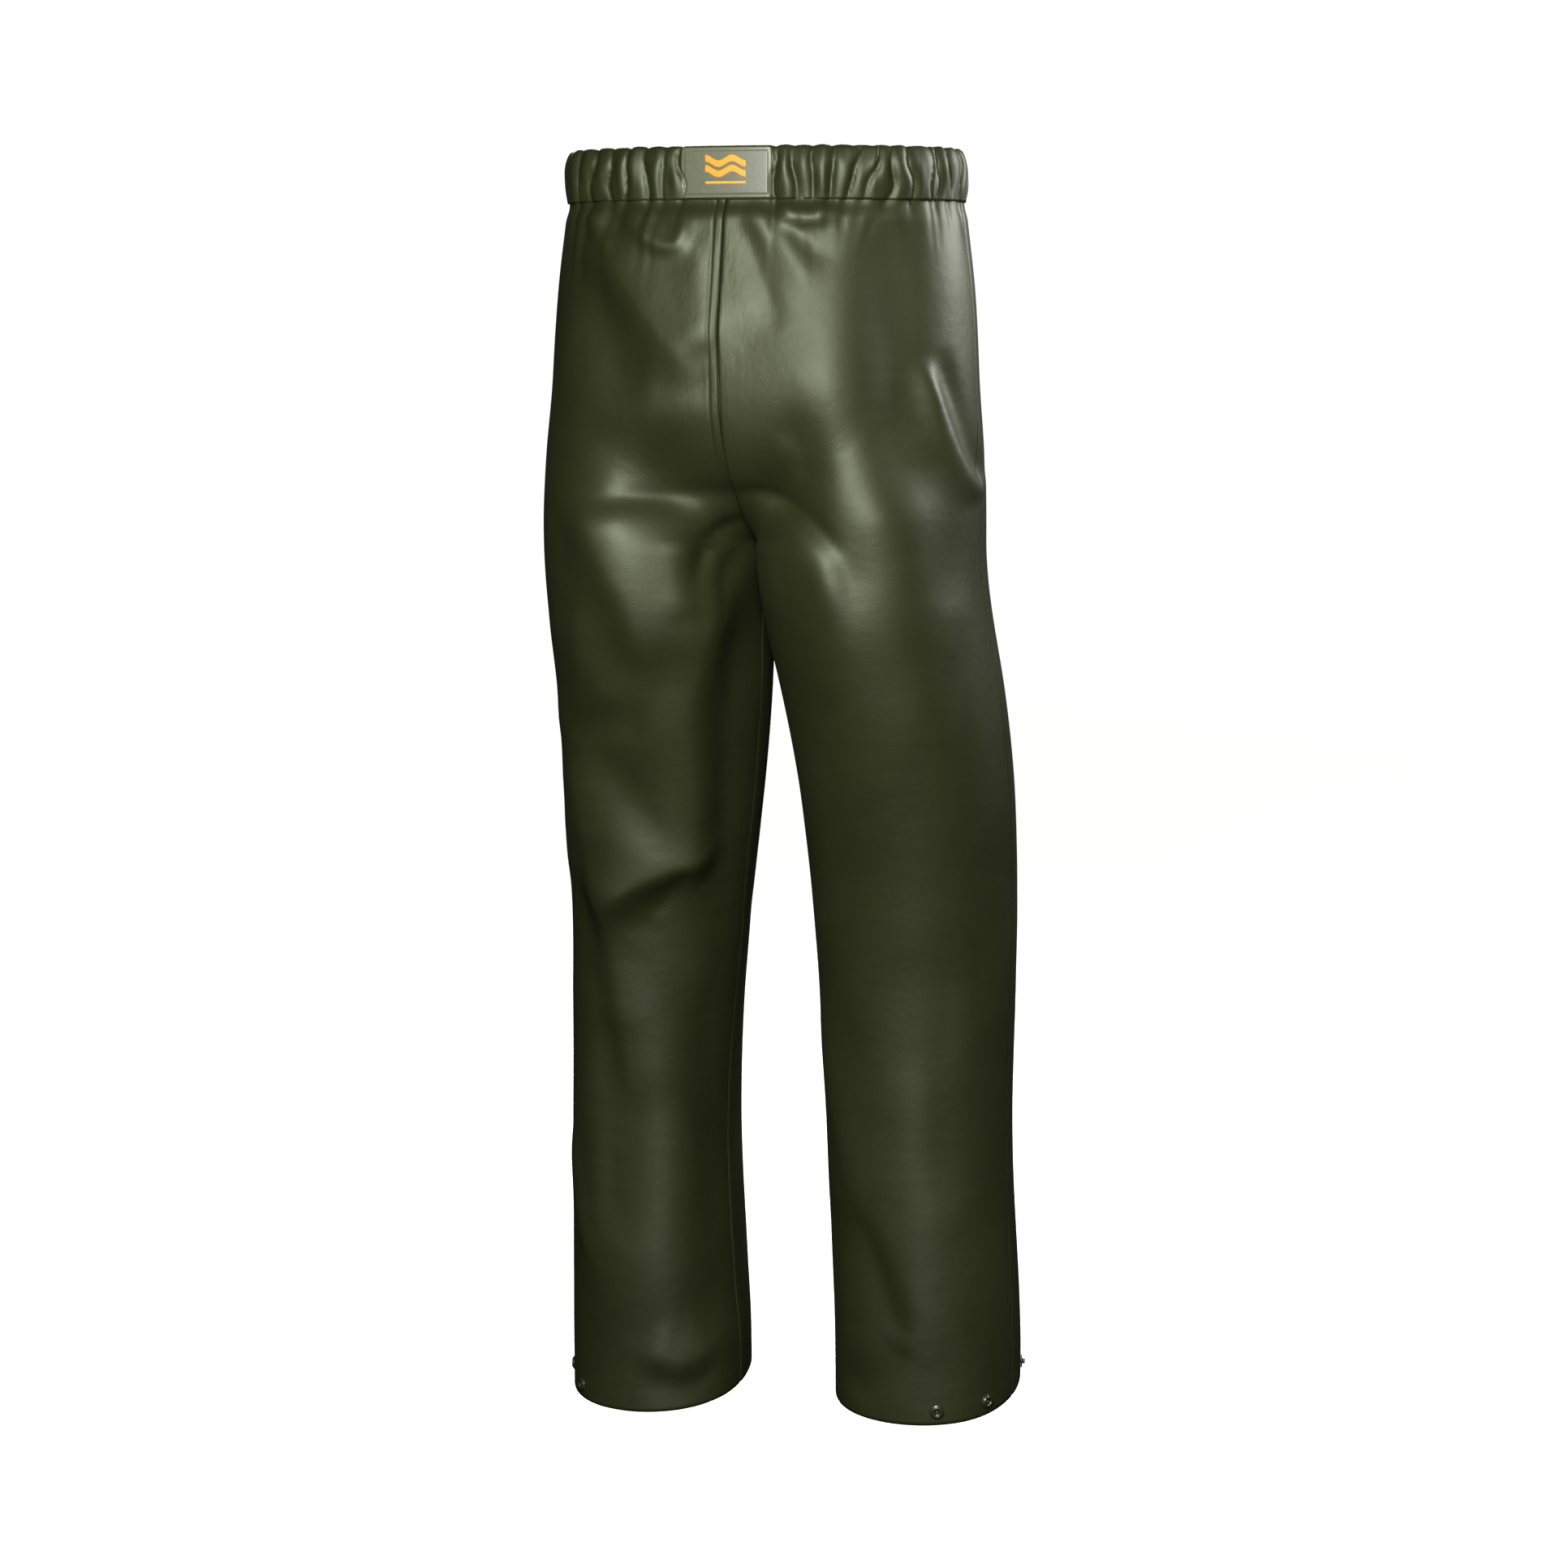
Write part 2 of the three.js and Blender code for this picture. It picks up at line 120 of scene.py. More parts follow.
# %% The cut as a function
def through(stations, place, even=False):
    """A smooth curve through (place, value) stations, level at its two ends. An even curve has no
    jump in its bend, so no band of light shows at its stations."""
    at, value = np.array(stations, float).T
    slope = np.zeros(len(at))
    slope[1:-1] = (value[2:] - value[:-2]) / (at[2:] - at[:-2])
    if even:
        stiff = 1 / np.diff(at)
        bends = np.eye(len(at))
        wanted = np.zeros(len(at))
        pull = np.diff(value) * stiff**2
        for k in range(1, len(at) - 1):
            bends[k, k - 1 : k + 2] = stiff[k - 1], 2 * (stiff[k - 1] + stiff[k]), stiff[k]
            wanted[k] = 3 * (pull[k - 1] + pull[k])
        slope = np.linalg.solve(bends, wanted)
    place = np.clip(place, at[0], at[-1])
    i = np.clip(np.searchsorted(at, place, side="right") - 1, 0, len(at) - 2)
    span = at[i + 1] - at[i]
    s = (place - at[i]) / span
    ends = (2 * s**3 - 3 * s**2 + 1) * value[i] + (3 * s**2 - 2 * s**3) * value[i + 1]
    return ends + span * ((s**3 - 2 * s**2 + s) * slope[i] + (s**3 - s**2) * slope[i + 1])


def ease(low, high, x):
    """0 below low, 1 above high, and smooth between them."""
    s = np.clip((x - low) / (high - low), 0, 1)
    return s**3 * (s * (6 * s - 15) + 10)


def oval(angle, width, depth):
    """A slightly boxy oval. width and depth are its half sizes, and angle starts at the back."""
    return width * np.sin(angle), depth * np.cos(angle) * (1 + BOXINESS * np.sin(angle) ** 2)


def plain_cloth(leg, turn, drop):
    """Points of the unfolded cloth, in millimetres."""
    cut = LEGS[leg]
    side = cut["side"]
    seat_x, seat_y = oval(np.pi * turn, through(SEAT_WIDTHS, drop), through(SEAT_DEPTHS, drop))
    seat_y = seat_y + through(SEAT_CENTRES, drop)
    along = (drop - RISE) / INSEAM
    outer = through(list(zip(LEG_SHARES, cut["outer"])), along, even=True)
    inner = through(list(zip(LEG_SHARES, cut["inner"])), along, even=True)
    twist = math.radians(LEG_TWIST) * side * np.maximum(along, 0)
    leg_depth = through(LEG_DEPTHS, along, even=True)
    leg_y, inwards = oval(2 * np.pi * turn + twist, leg_depth / 2, (outer - inner) / 2)
    leg_x = (outer + inner) / 2 - inwards
    leg_y = leg_y - through(LEG_FORWARD, along, even=True)
    above = np.clip((RISE - drop) / CROTCH_CURVE, 0, 1)
    seam_share = np.maximum(np.cos(2 * np.pi * turn), 0) ** 1.5
    quarter = np.sqrt(np.maximum(1 - (1 - above) ** 2, 0))
    opening = ease(0, 1, above) * (1 - seam_share) + quarter * seam_share
    lower = (HEM_DROP * np.sin(2 * np.pi * turn) + cut["hang"]) * ease(0.4, LEG_END, along)
    x = side * (leg_x + (seat_x - leg_x) * opening)
    y = leg_y + (seat_y - leg_y) * opening
    return np.stack([x, y, -drop - lower], axis=-1)


def plain_normals(leg, turn, drop):
    """Outward directions of the unfolded cloth."""
    step = 1e-3
    round_leg = plain_cloth(leg, turn + step, drop) - plain_cloth(leg, turn - step, drop)
    down = plain_cloth(leg, turn, drop + step) - plain_cloth(leg, turn, drop - step)
    normal = np.cross(round_leg, down) * LEGS[leg]["side"]
    length = np.linalg.norm(normal, axis=-1, keepdims=True)
    return normal / np.maximum(length, 1e-12)


probe = plain_cloth("left", np.array([0.0, 0.5]), np.array([RISE, RISE]))
print("crotch and side at crotch height:", probe.round(1).tolist())

# %% [markdown]
# ## Gathers of the waistband
# An elastic is held stretched while the waistband is sewn, so afterwards the cloth stands in puffs
# with a narrow valley between each two. The valleys are listed by their distance round the band from
# the centre back, and each may lean. Behind the label patch the band is kept flat by the patch. The
# front and sides are drawn with a fixed seed, because nobody places gathers by hand there.

# %% Valleys between the gathers
GIRTH = 2 * math.pi * math.sqrt(((WAIST_WIDTH / 2) ** 2 + (WAIST_DEPTH / 2) ** 2) / 2)
LABEL_WIDTH, LABEL_HEIGHT = 76, 40
BACK_SCALE = GIRTH / (math.pi * WAIST_WIDTH)  # the oval's turn runs faster than its length at the back
LABEL_HALF = LABEL_WIDTH / 2 * BACK_SCALE
LABEL_BLEND = 3
GAPS, LAST_GAP = (12, 25), 16  # between drawn valleys, and the least left before the first one again
gather_random = np.random.default_rng(7)
# (distance from the centre back, positive to the wearer's left, and lean)
left_valleys = [(34, 0), (47, 0.05), (62, -0.08), (80, 0.1), (96, -0.05), (119, 0.12), (144, 0), (166, 0.1)]
right_valleys = [(-35, 0), (-48, -0.1), (-61, 0), (-76, 0.1), (-93, 0.35), (-109, 0.45), (-125, 0.1),
                 (-143, -0.1), (-168, 0)]
valleys = sorted(left_valleys + right_valleys)
place = valleys[-1][0]
while place < GIRTH + valleys[0][0] - LAST_GAP:
    place += gather_random.uniform(*GAPS)
    valleys.append((place, gather_random.uniform(-0.2, 0.2)))
valley_at = np.array([v[0] for v in valleys] + [valleys[0][0] + GIRTH])
valley_lean = np.array([v[1] for v in valleys] + [valleys[0][1]])


def one_each(low, high):
    """A drawn number for each valley, with the first one again at the end, as the band is a ring."""
    drawn = gather_random.uniform(low, high, len(valley_at))
    drawn[-1] = drawn[0]
    return drawn


valley_reach = one_each(8, 36)  # how far below the band each one runs on
valley_middle = one_each(12, 34)  # the height at which each puff stands out most
valley_sway = one_each(-4, 4)  # how far each one bends like an S
puff_size = one_each(0.55, 1.3)
PUFF_SHARE, PUFF_MOST = 0.34, 6.5  # a puff's height as a share of its width, and its most
PUFF_SINK = 0.6  # share of a puff's height that lies below the plain band
PUFF_LEAST, PUFF_SPREAD = 0.45, 19  # a puff's least share of its height, and how far up it keeps more
# power of a puff's outline, what it gains below the band, and over what distance
BAND_CREST, BELOW_CREST, CREST_CHANGE = 0.62, 0.9, 45
LEAN_END = 90  # below this drop a leaning gather runs straight down
UNDER_LABEL, UNDER_LABEL_START = 0.35, 12  # share of a gather seen this far below the band, at the label
print(len(valleys), "gathers in a girth of", round(GIRTH), "mm")


def from_label(along):
    """Distance round the band from the centre back, either way."""
    return np.abs((along + GIRTH / 2) % GIRTH - GIRTH / 2)


def gathers(band_turn, drop):
    """How far the gathered cloth stands out, in millimetres."""
    on_band = np.minimum(drop, BAND_HEIGHT)
    along = (band_turn * GIRTH - valley_at[0]) % GIRTH + valley_at[0]
    lean = np.interp(along, valley_at, valley_lean)
    sway = np.interp(along, valley_at, valley_sway) * np.sin(2 * np.pi * on_band / BAND_HEIGHT)
    along = along - lean * (np.minimum(drop, LEAN_END) - BAND_HEIGHT / 2) - sway
    along = (along - valley_at[0]) % GIRTH + valley_at[0]
    i = np.clip(np.searchsorted(valley_at, along, side="right") - 1, 0, len(valley_at) - 2)
    pitch = valley_at[i + 1] - valley_at[i]
    share = np.clip((along - valley_at[i]) / pitch, 0, 1)
    size = np.minimum(PUFF_SHARE * pitch, PUFF_MOST) * puff_size[i]
    below = np.maximum(drop - BAND_HEIGHT, 0)
    crest = BAND_CREST + BELOW_CREST * ease(0, CREST_CHANGE, below)
    puff = size * (np.sin(np.pi * share) ** crest - PUFF_SINK)
    reach = np.interp(along, valley_at, valley_reach)
    middle = np.interp(along, valley_at, valley_middle)
    over_band = PUFF_LEAST + (1 - PUFF_LEAST) * np.exp(-(((on_band - middle) / PUFF_SPREAD) ** 2))
    beside = ease(LABEL_HALF - LABEL_BLEND, LABEL_HALF + LABEL_BLEND, from_label(along))
    shown = beside + (1 - beside) * UNDER_LABEL * ease(0, UNDER_LABEL_START, below)
    return puff * shown * over_band * np.exp(-((below / reach) ** 1.3))


# %% [markdown]
# ## Folds
# Each fold is a line on a chart of the cloth with a height (negative for a crease) and a width on
# each side of the line, so one side can be steep and the other soft. The back chart is level and
# square to the view from behind, with across counted from the middle of the trousers to the right.
# The front chart is the same seen from the front. A simulation would give believable folds too, but
# in places of its own. Placed folds put the knee break and the seat creases where this garment has
# them.

# %% The chart of folds
BACK, FRONT = "back", "front"
# (chart, legs, points (across, drop), height, width on the left and right of the way it runs, crispness)
FOLDS = [
    # seat, under the waistband
    (BACK, "both", [(-113, 45), (-100, 67), (-83, 80), (-69, 79), (-64, 64), (-74, 46)], 5.0, 15, 7, 1.7),
    (BACK, "both", [(-146, 48), (-134, 70), (-120, 82)], 3.0, 16, 7, 1.8),
    (BACK, "both", [(-126, 50), (-119, 74)], -3.0, 8, 8, 2),
    (BACK, "both", [(8, 44), (17, 54), (32, 59), (49, 55), (58, 45)], 4.2, 12, 6, 1.7),
    (BACK, "both", [(-138, 70), (-98, 132), (-52, 190)], 9.5, 50, 22, 1.8),
    (BACK, "both", [(-152, 84), (-130, 150), (-110, 215)], -4.0, 22, 22, 2),
    (BACK, "both", [(-92, 186), (-66, 190), (-40, 189)], -1.6, 22, 16, 2),
    (BACK, "both", [(-54, 66), (-50, 120), (-46, 170)], 2.5, 12, 18, 2),
    # fan of soft streaks from the centre back over the right seat
    (BACK, "both", [(-22, 52), (-8, 90), (12, 150)], -1.8, 9, 12, 2),
    (BACK, "both", [(-18, 50), (10, 74), (40, 120)], 2.2, 12, 14, 2),
    (BACK, "both", [(0, 50), (28, 70), (56, 96)], -1.6, 10, 10, 2),
    (BACK, "right", [(14, 70), (44, 150), (58, 260), (66, 360), (70, 500), (66, 640)], 7.0, 60, 40, 2),
    (BACK, "right", [(100, 40), (106, 160), (112, 300)], -6.5, 30, 30, 2),
    (BACK, "right", [(4, 226), (24, 232), (34, 254), (32, 276)], -2.4, 22, 12, 2),
    # under the buttocks and into the crotch
    (BACK, "left", [(-20, 206), (-86, 214), (-118, 256), (-154, 292)], 4.0, 26, 40, 2),
    (BACK, "left", [(-168, 296), (-120, 284), (-62, 286), (-10, 291), (40, 298)], -6.5, 42, 14, 1.8),
    (BACK, "left", [(-170, 302), (-104, 318), (-40, 312)], 3.4, 24, 42, 1.9),
    (BACK, "left", [(-158, 270), (-139, 322), (-114, 376), (-97, 440)], 10.0, 42, 19, 1.7),
    (BACK, "left", [(-166, 380), (-146, 425), (-122, 466)], 2.6, 22, 20, 2),
    (BACK, "left", [(-172, 490), (-134, 474), (-96, 480)], -3.0, 24, 16, 2),
    (BACK, "left", [(-68, 312), (-70, 345), (-68, 385)], 3.0, 13, 16, 1.9),
    (BACK, "left", [(20, 298), (-11, 308), (-45, 321), (-59, 346), (-62, 396)], -4.0, 11, 13, 1.8),
    (BACK, "left", [(18, 304), (-9, 322), (-33, 347), (-47, 396)], -3.2, 10, 10, 1.8),
    (BACK, "right", [(-60, 284), (-10, 283), (18, 290), (44, 308), (62, 330), (72, 362), (70, 400)], -6.5, 32,
     12, 1.8),
    (BACK, "right", [(-10, 296), (24, 314), (46, 342), (52, 390)], 1.2, 14, 22, 2),
    # thin creases along the bottom of the broad ones
    (BACK, "left", [(-150, 290), (-110, 284), (-62, 285), (-10, 290), (30, 296)], -1.4, 9, 9, 2),
    (BACK, "right", [(-50, 284), (-10, 283), (18, 290), (44, 308), (64, 332)], -2.0, 7, 6, 2),
    (BACK, "left", [(16, 298), (-12, 308), (-42, 320), (-58, 350)], -2.2, 6, 6, 2),
    # right hip
    (BACK, "right", [(128, 168), (152, 240), (180, 290)], 5.0, 8, 11, 1.8),
    (BACK, "right", [(142, 160), (166, 232), (186, 276)], -4.0, 8, 9, 2),
    (BACK, "right", [(126, 240), (146, 300), (150, 380)], -2.5, 20, 18, 2),
    # outer side of the left leg
    (BACK, "left", [(-148, 330), (-154, 440), (-152, 560)], 3.0, 30, 14, 1.9),
    (BACK, "left", [(-150, 660), (-152, 780), (-150, 1000)], 2.4, 28, 14, 1.9),
    # thigh of the left leg: the inner face turns away along a sharp edge
    (BACK, "left", [(-32, 332), (-48, 385), (-65, 460), (-62, 560), (-72, 680)], 11.0, 20, 54, 1.7),
    (BACK, "left", [(-12, 350), (-24, 440), (-32, 560), (-38, 680)], -6.0, 20, 20, 2),
    # knee break of the left leg
    (BACK, "left", [(-176, 470), (-112, 540), (-48, 606)], -6.5, 30, 26, 2),
    (BACK, "left", [(-178, 450), (-154, 566), (-130, 690)], 5.5, 46, 13, 1.7),
    (BACK, "left", [(-30, 580), (-68, 598), (-95, 610), (-120, 627), (-150, 668)], 13.0, 12, 58, 1.6),
    (BACK, "left", [(-36, 618), (-84, 640), (-116, 668)], -3.0, 26, 14, 2),
    (BACK, "left", [(-98, 650), (-71, 604)], -1.8, 8, 8, 1.9),
    (BACK, "left", [(-142, 600), (-131, 700), (-116, 820)], 5.5, 34, 12, 1.8),
    (BACK, "left", [(-150, 570), (-158, 640), (-154, 730)], -3.0, 16, 18, 2),
    # lower left leg
    (BACK, "left", [(-130, 735), (-138, 820), (-134, 940)], -4.0, 30, 18, 2),
    (BACK, "left", [(-174, 845), (-168, 900), (-158, 955)], 2.4, 7, 6, 1.9),
    (BACK, "left", [(-98, 680), (-94, 800), (-98, 930), (-90, 1010)], 2.6, 36, 32, 2),
    (BACK, "left", [(-52, 700), (-46, 820), (-44, 950), (-40, 1040)], -5.0, 20, 24, 2),
    (BACK, "left", [(-116, 1016), (-76, 1034), (-36, 1016)], 3.4, 30, 13, 1.9),
    (BACK, "left", [(-110, 1044), (-74, 1056), (-40, 1046)], -2.0, 12, 18, 2),
    # lower right leg
    (BACK, "right", [(36, 700), (50, 764), (61, 820), (75, 900)], 2.6, 13, 8, 1.8),
    (BACK, "right", [(70, 890), (98, 952), (118, 1006)], -4.6, 12, 36, 1.8),
    (BACK, "right", [(120, 1004), (104, 1032), (72, 1064)], -2.4, 11, 20, 1.9),
    (BACK, "right", [(122, 420), (128, 560), (120, 700)], 2.4, 46, 40, 2),
    (BACK, "right", [(156, 640), (152, 780), (158, 900)], -2.0, 26, 22, 2),
    (BACK, "right", [(128, 760), (134, 900), (140, 1040)], 2.0, 30, 28, 2),
    # front
    (FRONT, "both", [(-120, 150), (-60, 215), (-12, 262)], -4.0, 16, 20, 1.8),
    (FRONT, "both", [(118, 160), (64, 222), (12, 266)], -4.5, 20, 16, 1.8),
    (FRONT, "both", [(-95, 235), (-50, 268), (-14, 292)], 4.0, 14, 12, 1.8),
    (FRONT, "both", [(100, 242), (52, 274), (14, 295)], 4.0, 12, 14, 1.8),
    (FRONT, "left", [(30, 320), (70, 352), (110, 366)], -4.0, 12, 16, 1.8),
    (FRONT, "right", [(-30, 318), (-76, 350), (-120, 362)], -4.0, 16, 12, 1.8),
    (FRONT, "left", [(34, 572), (84, 612), (136, 618), (186, 590)], 3.4, 30, 18, 1.9),
    (FRONT, "left", [(40, 630), (96, 652), (160, 640)], -3.0, 16, 26, 2),
    (FRONT, "right", [(-48, 566), (-96, 598), (-150, 606), (-204, 582)], 3.2, 18, 30, 1.9),
    (FRONT, "right", [(-58, 618), (-112, 640), (-178, 628)], -2.8, 24, 16, 2),
    (FRONT, "left", [(96, 380), (104, 480), (100, 570)], 4.0, 26, 30, 2),
    (FRONT, "right", [(-106, 380), (-112, 470), (-118, 560)], 4.0, 30, 26, 2),
    (FRONT, "left", [(112, 690), (120, 830), (112, 980)], 4.0, 24, 26, 2),
    (FRONT, "left", [(72, 700), (78, 840), (84, 960)], -4.0, 16, 18, 2),
    (FRONT, "right", [(-136, 680), (-140, 820), (-134, 960)], 4.0, 26, 24, 2),
    (FRONT, "right", [(-98, 700), (-100, 820), (-108, 950)], -3.6, 18, 16, 2),
    (FRONT, "left", [(48, 1004), (100, 1028), (166, 1000)], 2.6, 26, 16, 1.9),
    (FRONT, "right", [(-66, 1000), (-124, 1024), (-196, 998)], 2.6, 16, 26, 1.9),
]
STEPS_PER_POINT = 8
FOLD_GAIN = 1.25  # the whole chart's heights are set with this one number
FOLD_REACH = 3.4  # a fold is nil beyond this many of its widths
SOFT_SHARE = 0.22  # how far the choice of the nearest stretch is softened, as a share of the width
FADE = 0.32  # share of a fold's length over which each end dies away


def one_fold(across, drop, points, height, left, right, crisp):
    """Height of one fold at each point of the chart. left and right are its widths on the two sides
    of the way it runs, and a higher crisp gives it steeper sides."""
    s = np.linspace(0, len(points) - 1, STEPS_PER_POINT * len(points))
    line = np.stack([through(list(enumerate(c)), s) for c in zip(*points)], axis=1)
    reach = FOLD_REACH * max(left, right)
    low, high = line.min(0) - reach, line.max(0) + reach
    near = (across > low[0]) & (across < high[0]) & (drop > low[1]) & (drop < high[1])
    x, y = across[near], drop[near]
    start, way = line[:-1, :, None], (line[1:] - line[:-1])[:, :, None]
    length = np.maximum(np.hypot(way[:, 0], way[:, 1]), 1e-9)
    dx, dy = x - start[:, 0], y - start[:, 1]
    t = np.clip((dx * way[:, 0] + dy * way[:, 1]) / length**2, 0, 1)
    dx, dy = dx - t * way[:, 0], dy - t * way[:, 1]
    far = np.maximum(np.hypot(dx, dy), 1e-6)
    turned = (way[:, 0] * dy - way[:, 1] * dx) / (length * far)
    # a soft choice of the nearest stretch, so that no crack shows where two are equally near
    soft = SOFT_SHARE * max(left, right)
    weight = np.exp((far.min(0) ** 2 - far**2) / (2 * soft**2))
    weight /= weight.sum(0)
    offset = (weight * turned).sum(0)  # from -1, left of the way, to 1, right of it
    share = (weight * (np.arange(len(t))[:, None] + t)).sum(0) / len(t)
    width = left + (right - left) * (0.5 + 0.5 * offset)
    profile = np.exp(-(((weight * far).sum(0) / width) ** crisp))
    ends = ease(0, FADE, share) * ease(0, FADE, 1 - share)
    made = np.zeros(len(across))
    made[near] = FOLD_GAIN * height * profile * ends
    return made


# %% [markdown]
# ## From cut to cloth
# The folded cloth is the cut, moved along its normals by the folds, the gathers and a few small,
# uneven wrinkles. A fold counts only where the cloth faces its chart. The welded seams are fine
# grooves, and at the centre back one panel laps over the other in a strip 7 mm wide.

# %% Folded cloth
LAP_WIDTH, LAP_HEIGHT, LAP_EDGE = 7.0, 0.8, 0.8
LAP_FADE, LAP_END = 245, 285  # drops between which the lap runs out
OFF_LAP = -9  # stands for the distance from the lap on cloth that has none
GROOVE, GROOVE_WIDTH = 0.7, 1.3
SEAM_REACH = 0.2  # turns from a seam within which its groove is looked for
SEAM_STAY = 0.05  # turns from the middle of the seat within which the cloth is held from moving sideways
HEM_LINE = 22  # height of the line that joins the turned-up edge
HEM_GROOVE, HEM_GROOVE_WIDTH = 0.35, 1.2
FACING = (-0.15, 0.35)  # from turned away to facing a chart, as the cosine between the two
WRINKLES = [(0.9, 75), (0.35, 26)]  # (height, size) of the small wrinkles
WRINKLE_STRETCH = 2.4  # how much longer than wide they are
WRINKLE_START = 30  # distance below the band over which they come in


def wrinkle(points):
    """Small uneven wrinkles, stretched along the leg."""
    total = np.zeros(len(points))
    for height, size in WRINKLES:
        scaled = points / [size, size, WRINKLE_STRETCH * size]
        total += height * np.array([noise.noise(Vector(p)) for p in scaled])
    return total


def lift(leg, turn, drop, base, normal):
    """How far the cloth stands out from its cut, in millimetres."""
    side = LEGS[leg]["side"]
    back_across = base[:, :2] @ np.array(across_view[:2])
    faces_back = ease(*FACING, normal[:, :2] @ np.array(towards_camera[:2]))
    faces_front = ease(*FACING, -normal[:, 1])
    total = np.zeros(len(turn))
    for chart, legs, points, *shape in FOLDS:
        if legs in (leg, "both"):
            across, faces = (back_across, faces_back) if chart == BACK else (base[:, 0], faces_front)
            total += faces * one_fold(across, drop, points, *shape)
    loose = ease(BAND_HEIGHT, BAND_HEIGHT + WRINKLE_START, drop)
    total += loose * wrinkle(base)
    total += gathers(side * turn / 2, drop)
    # the seams at the inseam or the middle, the side, and the inseam or the middle again
    for at in (0, 0.5, 1):
        away = np.linalg.norm(base - plain_cloth(leg, np.full_like(turn, at), drop), axis=1)
        near = np.abs(turn - at) < SEAM_REACH
        total -= np.where(near, GROOVE * np.exp(-((away / GROOVE_WIDTH) ** 2)), 0)
    if side > 0:
        # the lap of the centre-back seam, from the middle to a groove along its free edge
        lap = np.where((drop < RISE) & (turn < 0.25), side * base[:, 0], OFF_LAP)
        lap_shown = ease(LAP_END, LAP_FADE, drop)
        total += LAP_HEIGHT * ease(0, LAP_EDGE, lap) * ease(LAP_WIDTH + LAP_EDGE, LAP_WIDTH, lap) * lap_shown
        total -= GROOVE * np.exp(-(((lap - LAP_WIDTH - LAP_EDGE) / GROOVE_WIDTH) ** 2)) * lap_shown
    total -= HEM_GROOVE * np.exp(-(((HEM - drop - HEM_LINE) / HEM_GROOVE_WIDTH) ** 2))
    return total


def cloth(leg, turn, drop, depth=0):
    """Points of the folded cloth, depth millimetres in from its face."""
    base, normal = plain_cloth(leg, turn, drop), plain_normals(leg, turn, drop)
    # the two halves of the seat share their seam, so there they may not part sideways
    from_seam = np.where(drop < RISE, ease(0, SEAM_STAY, np.minimum(turn, 1 - turn)), 1)
    push = normal * np.stack([from_seam, np.ones_like(turn), np.ones_like(turn)], axis=1)
    return base + push * (lift(leg, turn, drop, base, normal) - depth)[:, None]


# %% [markdown]
# ## Helpers for making pieces
# Each sheet starts as a flat bmesh grid. A function then gives each corner of the grid its place.
# The grid keeps a UV map in metres, so a knit or weave can follow the cloth at its true scale.

# %% Sheet helpers
def finished(bm, name, materials, body=None):
    """Makes the object of a bmesh, smooth shaded, and lets it ride on a body."""
    mesh = bpy.data.meshes.new(name)
    bm.to_mesh(mesh)
    bm.free()
    for material in materials:
        mesh.materials.append(material)
    mesh.shade_smooth()
    made = bpy.data.objects.new(name, mesh)
    bpy.context.scene.collection.objects.link(made)
    if body:
        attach(made, body)
    return made


def sheet_mesh(across, down, place, size, face_out, ring=False):
    """A grid of across by down cells. place(u, v) gives points in millimetres for u and v from 0 to 1,
    size is the sheet's flat (width, length) in metres, face_out gives outward directions, and a ring
    has its two ends joined."""
    bm = bmesh.new()
    bmesh.ops.create_grid(bm, x_segments=across, y_segments=down, size=0.5, calc_uvs=True)
    uv = bm.loops.layers.uv.verify()
    u = np.array([v.co.x + 0.5 for v in bm.verts])
    v = np.array([v.co.y + 0.5 for v in bm.verts])
    for face in bm.faces:
        for loop in face.loops:
            loop[uv].uv = (size[0] * (loop.vert.co.x + 0.5), size[1] * (loop.vert.co.y + 0.5))
    points = place(u, v) * MM
    for vert, point in zip(bm.verts, points):
        vert.co = point
    if ring:
        bmesh.ops.remove_doubles(bm, verts=bm.verts, dist=1e-5)
    bm.normal_update()
    bm.faces.ensure_lookup_table()
    sample = bm.faces[len(bm.faces) // 3]
    if sample.normal.dot(Vector(face_out(sample.calc_center_median() / MM))) < 0:
        bmesh.ops.reverse_faces(bm, faces=bm.faces)
    return bm


def give_wall(made, thickness, inner_material=0):
    """Gives a sheet its thickness, inwards from its face."""
    wall = made.modifiers.new("wall", "SOLIDIFY")
    wall.thickness = thickness * MM
    wall.offset = -1
    wall.material_offset = inner_material
    return made


# %% [markdown]
# ## Materials
# One small function adds a node. Colours are given as sRGB hex values, and one function turns them
# to the linear values that the shader wants.

# %% Material helpers
def linear(hex_colour):
    """sRGB hex to linear RGBA."""
    parts = [int(hex_colour[i : i + 2], 16) / 255 for i in (1, 3, 5)]
    return (*[p / 12.92 if p <= 0.04045 else ((p + 0.055) / 1.055) ** 2.4 for p in parts], 1)


def add_node(tree, kind, inputs=None, **settings):
    """Adds one node. settings are its properties, and inputs its values or the outputs linked to it."""
    made = tree.nodes.new(kind)
    for name, value in settings.items():
        setattr(made, name, value)
    for name, value in (inputs or {}).items():
        if isinstance(value, bpy.types.NodeSocket):
            tree.links.new(value, made.inputs[name])
        else:
            made.inputs[name].default_value = value
    return made


def new_material(name):
    """A material with its shader and output, ready for nodes."""
    made = bpy.data.materials.new(name)
    made.use_nodes = True
    tree = made.node_tree
    return made, tree, tree.nodes["Principled BSDF"]


def set_shader(shader, **values):
    """Sets constants on the shader's own sockets. An underscore stands for a space."""
    for name, value in values.items():
        shader.inputs[name.replace("_", " ")].default_value = value


# %% [markdown]
# ### PU-coated stretch knit
# A polyester knit with a soft polyurethane film on its face. The film gives a satin gloss that
# follows every fold, and the knit below prints through as a fine grain. The knit's stitches are about
# 0.6 mm, too fine to show, so the grain is drawn at 1.8 mm. Slow changes of tone come from handling.

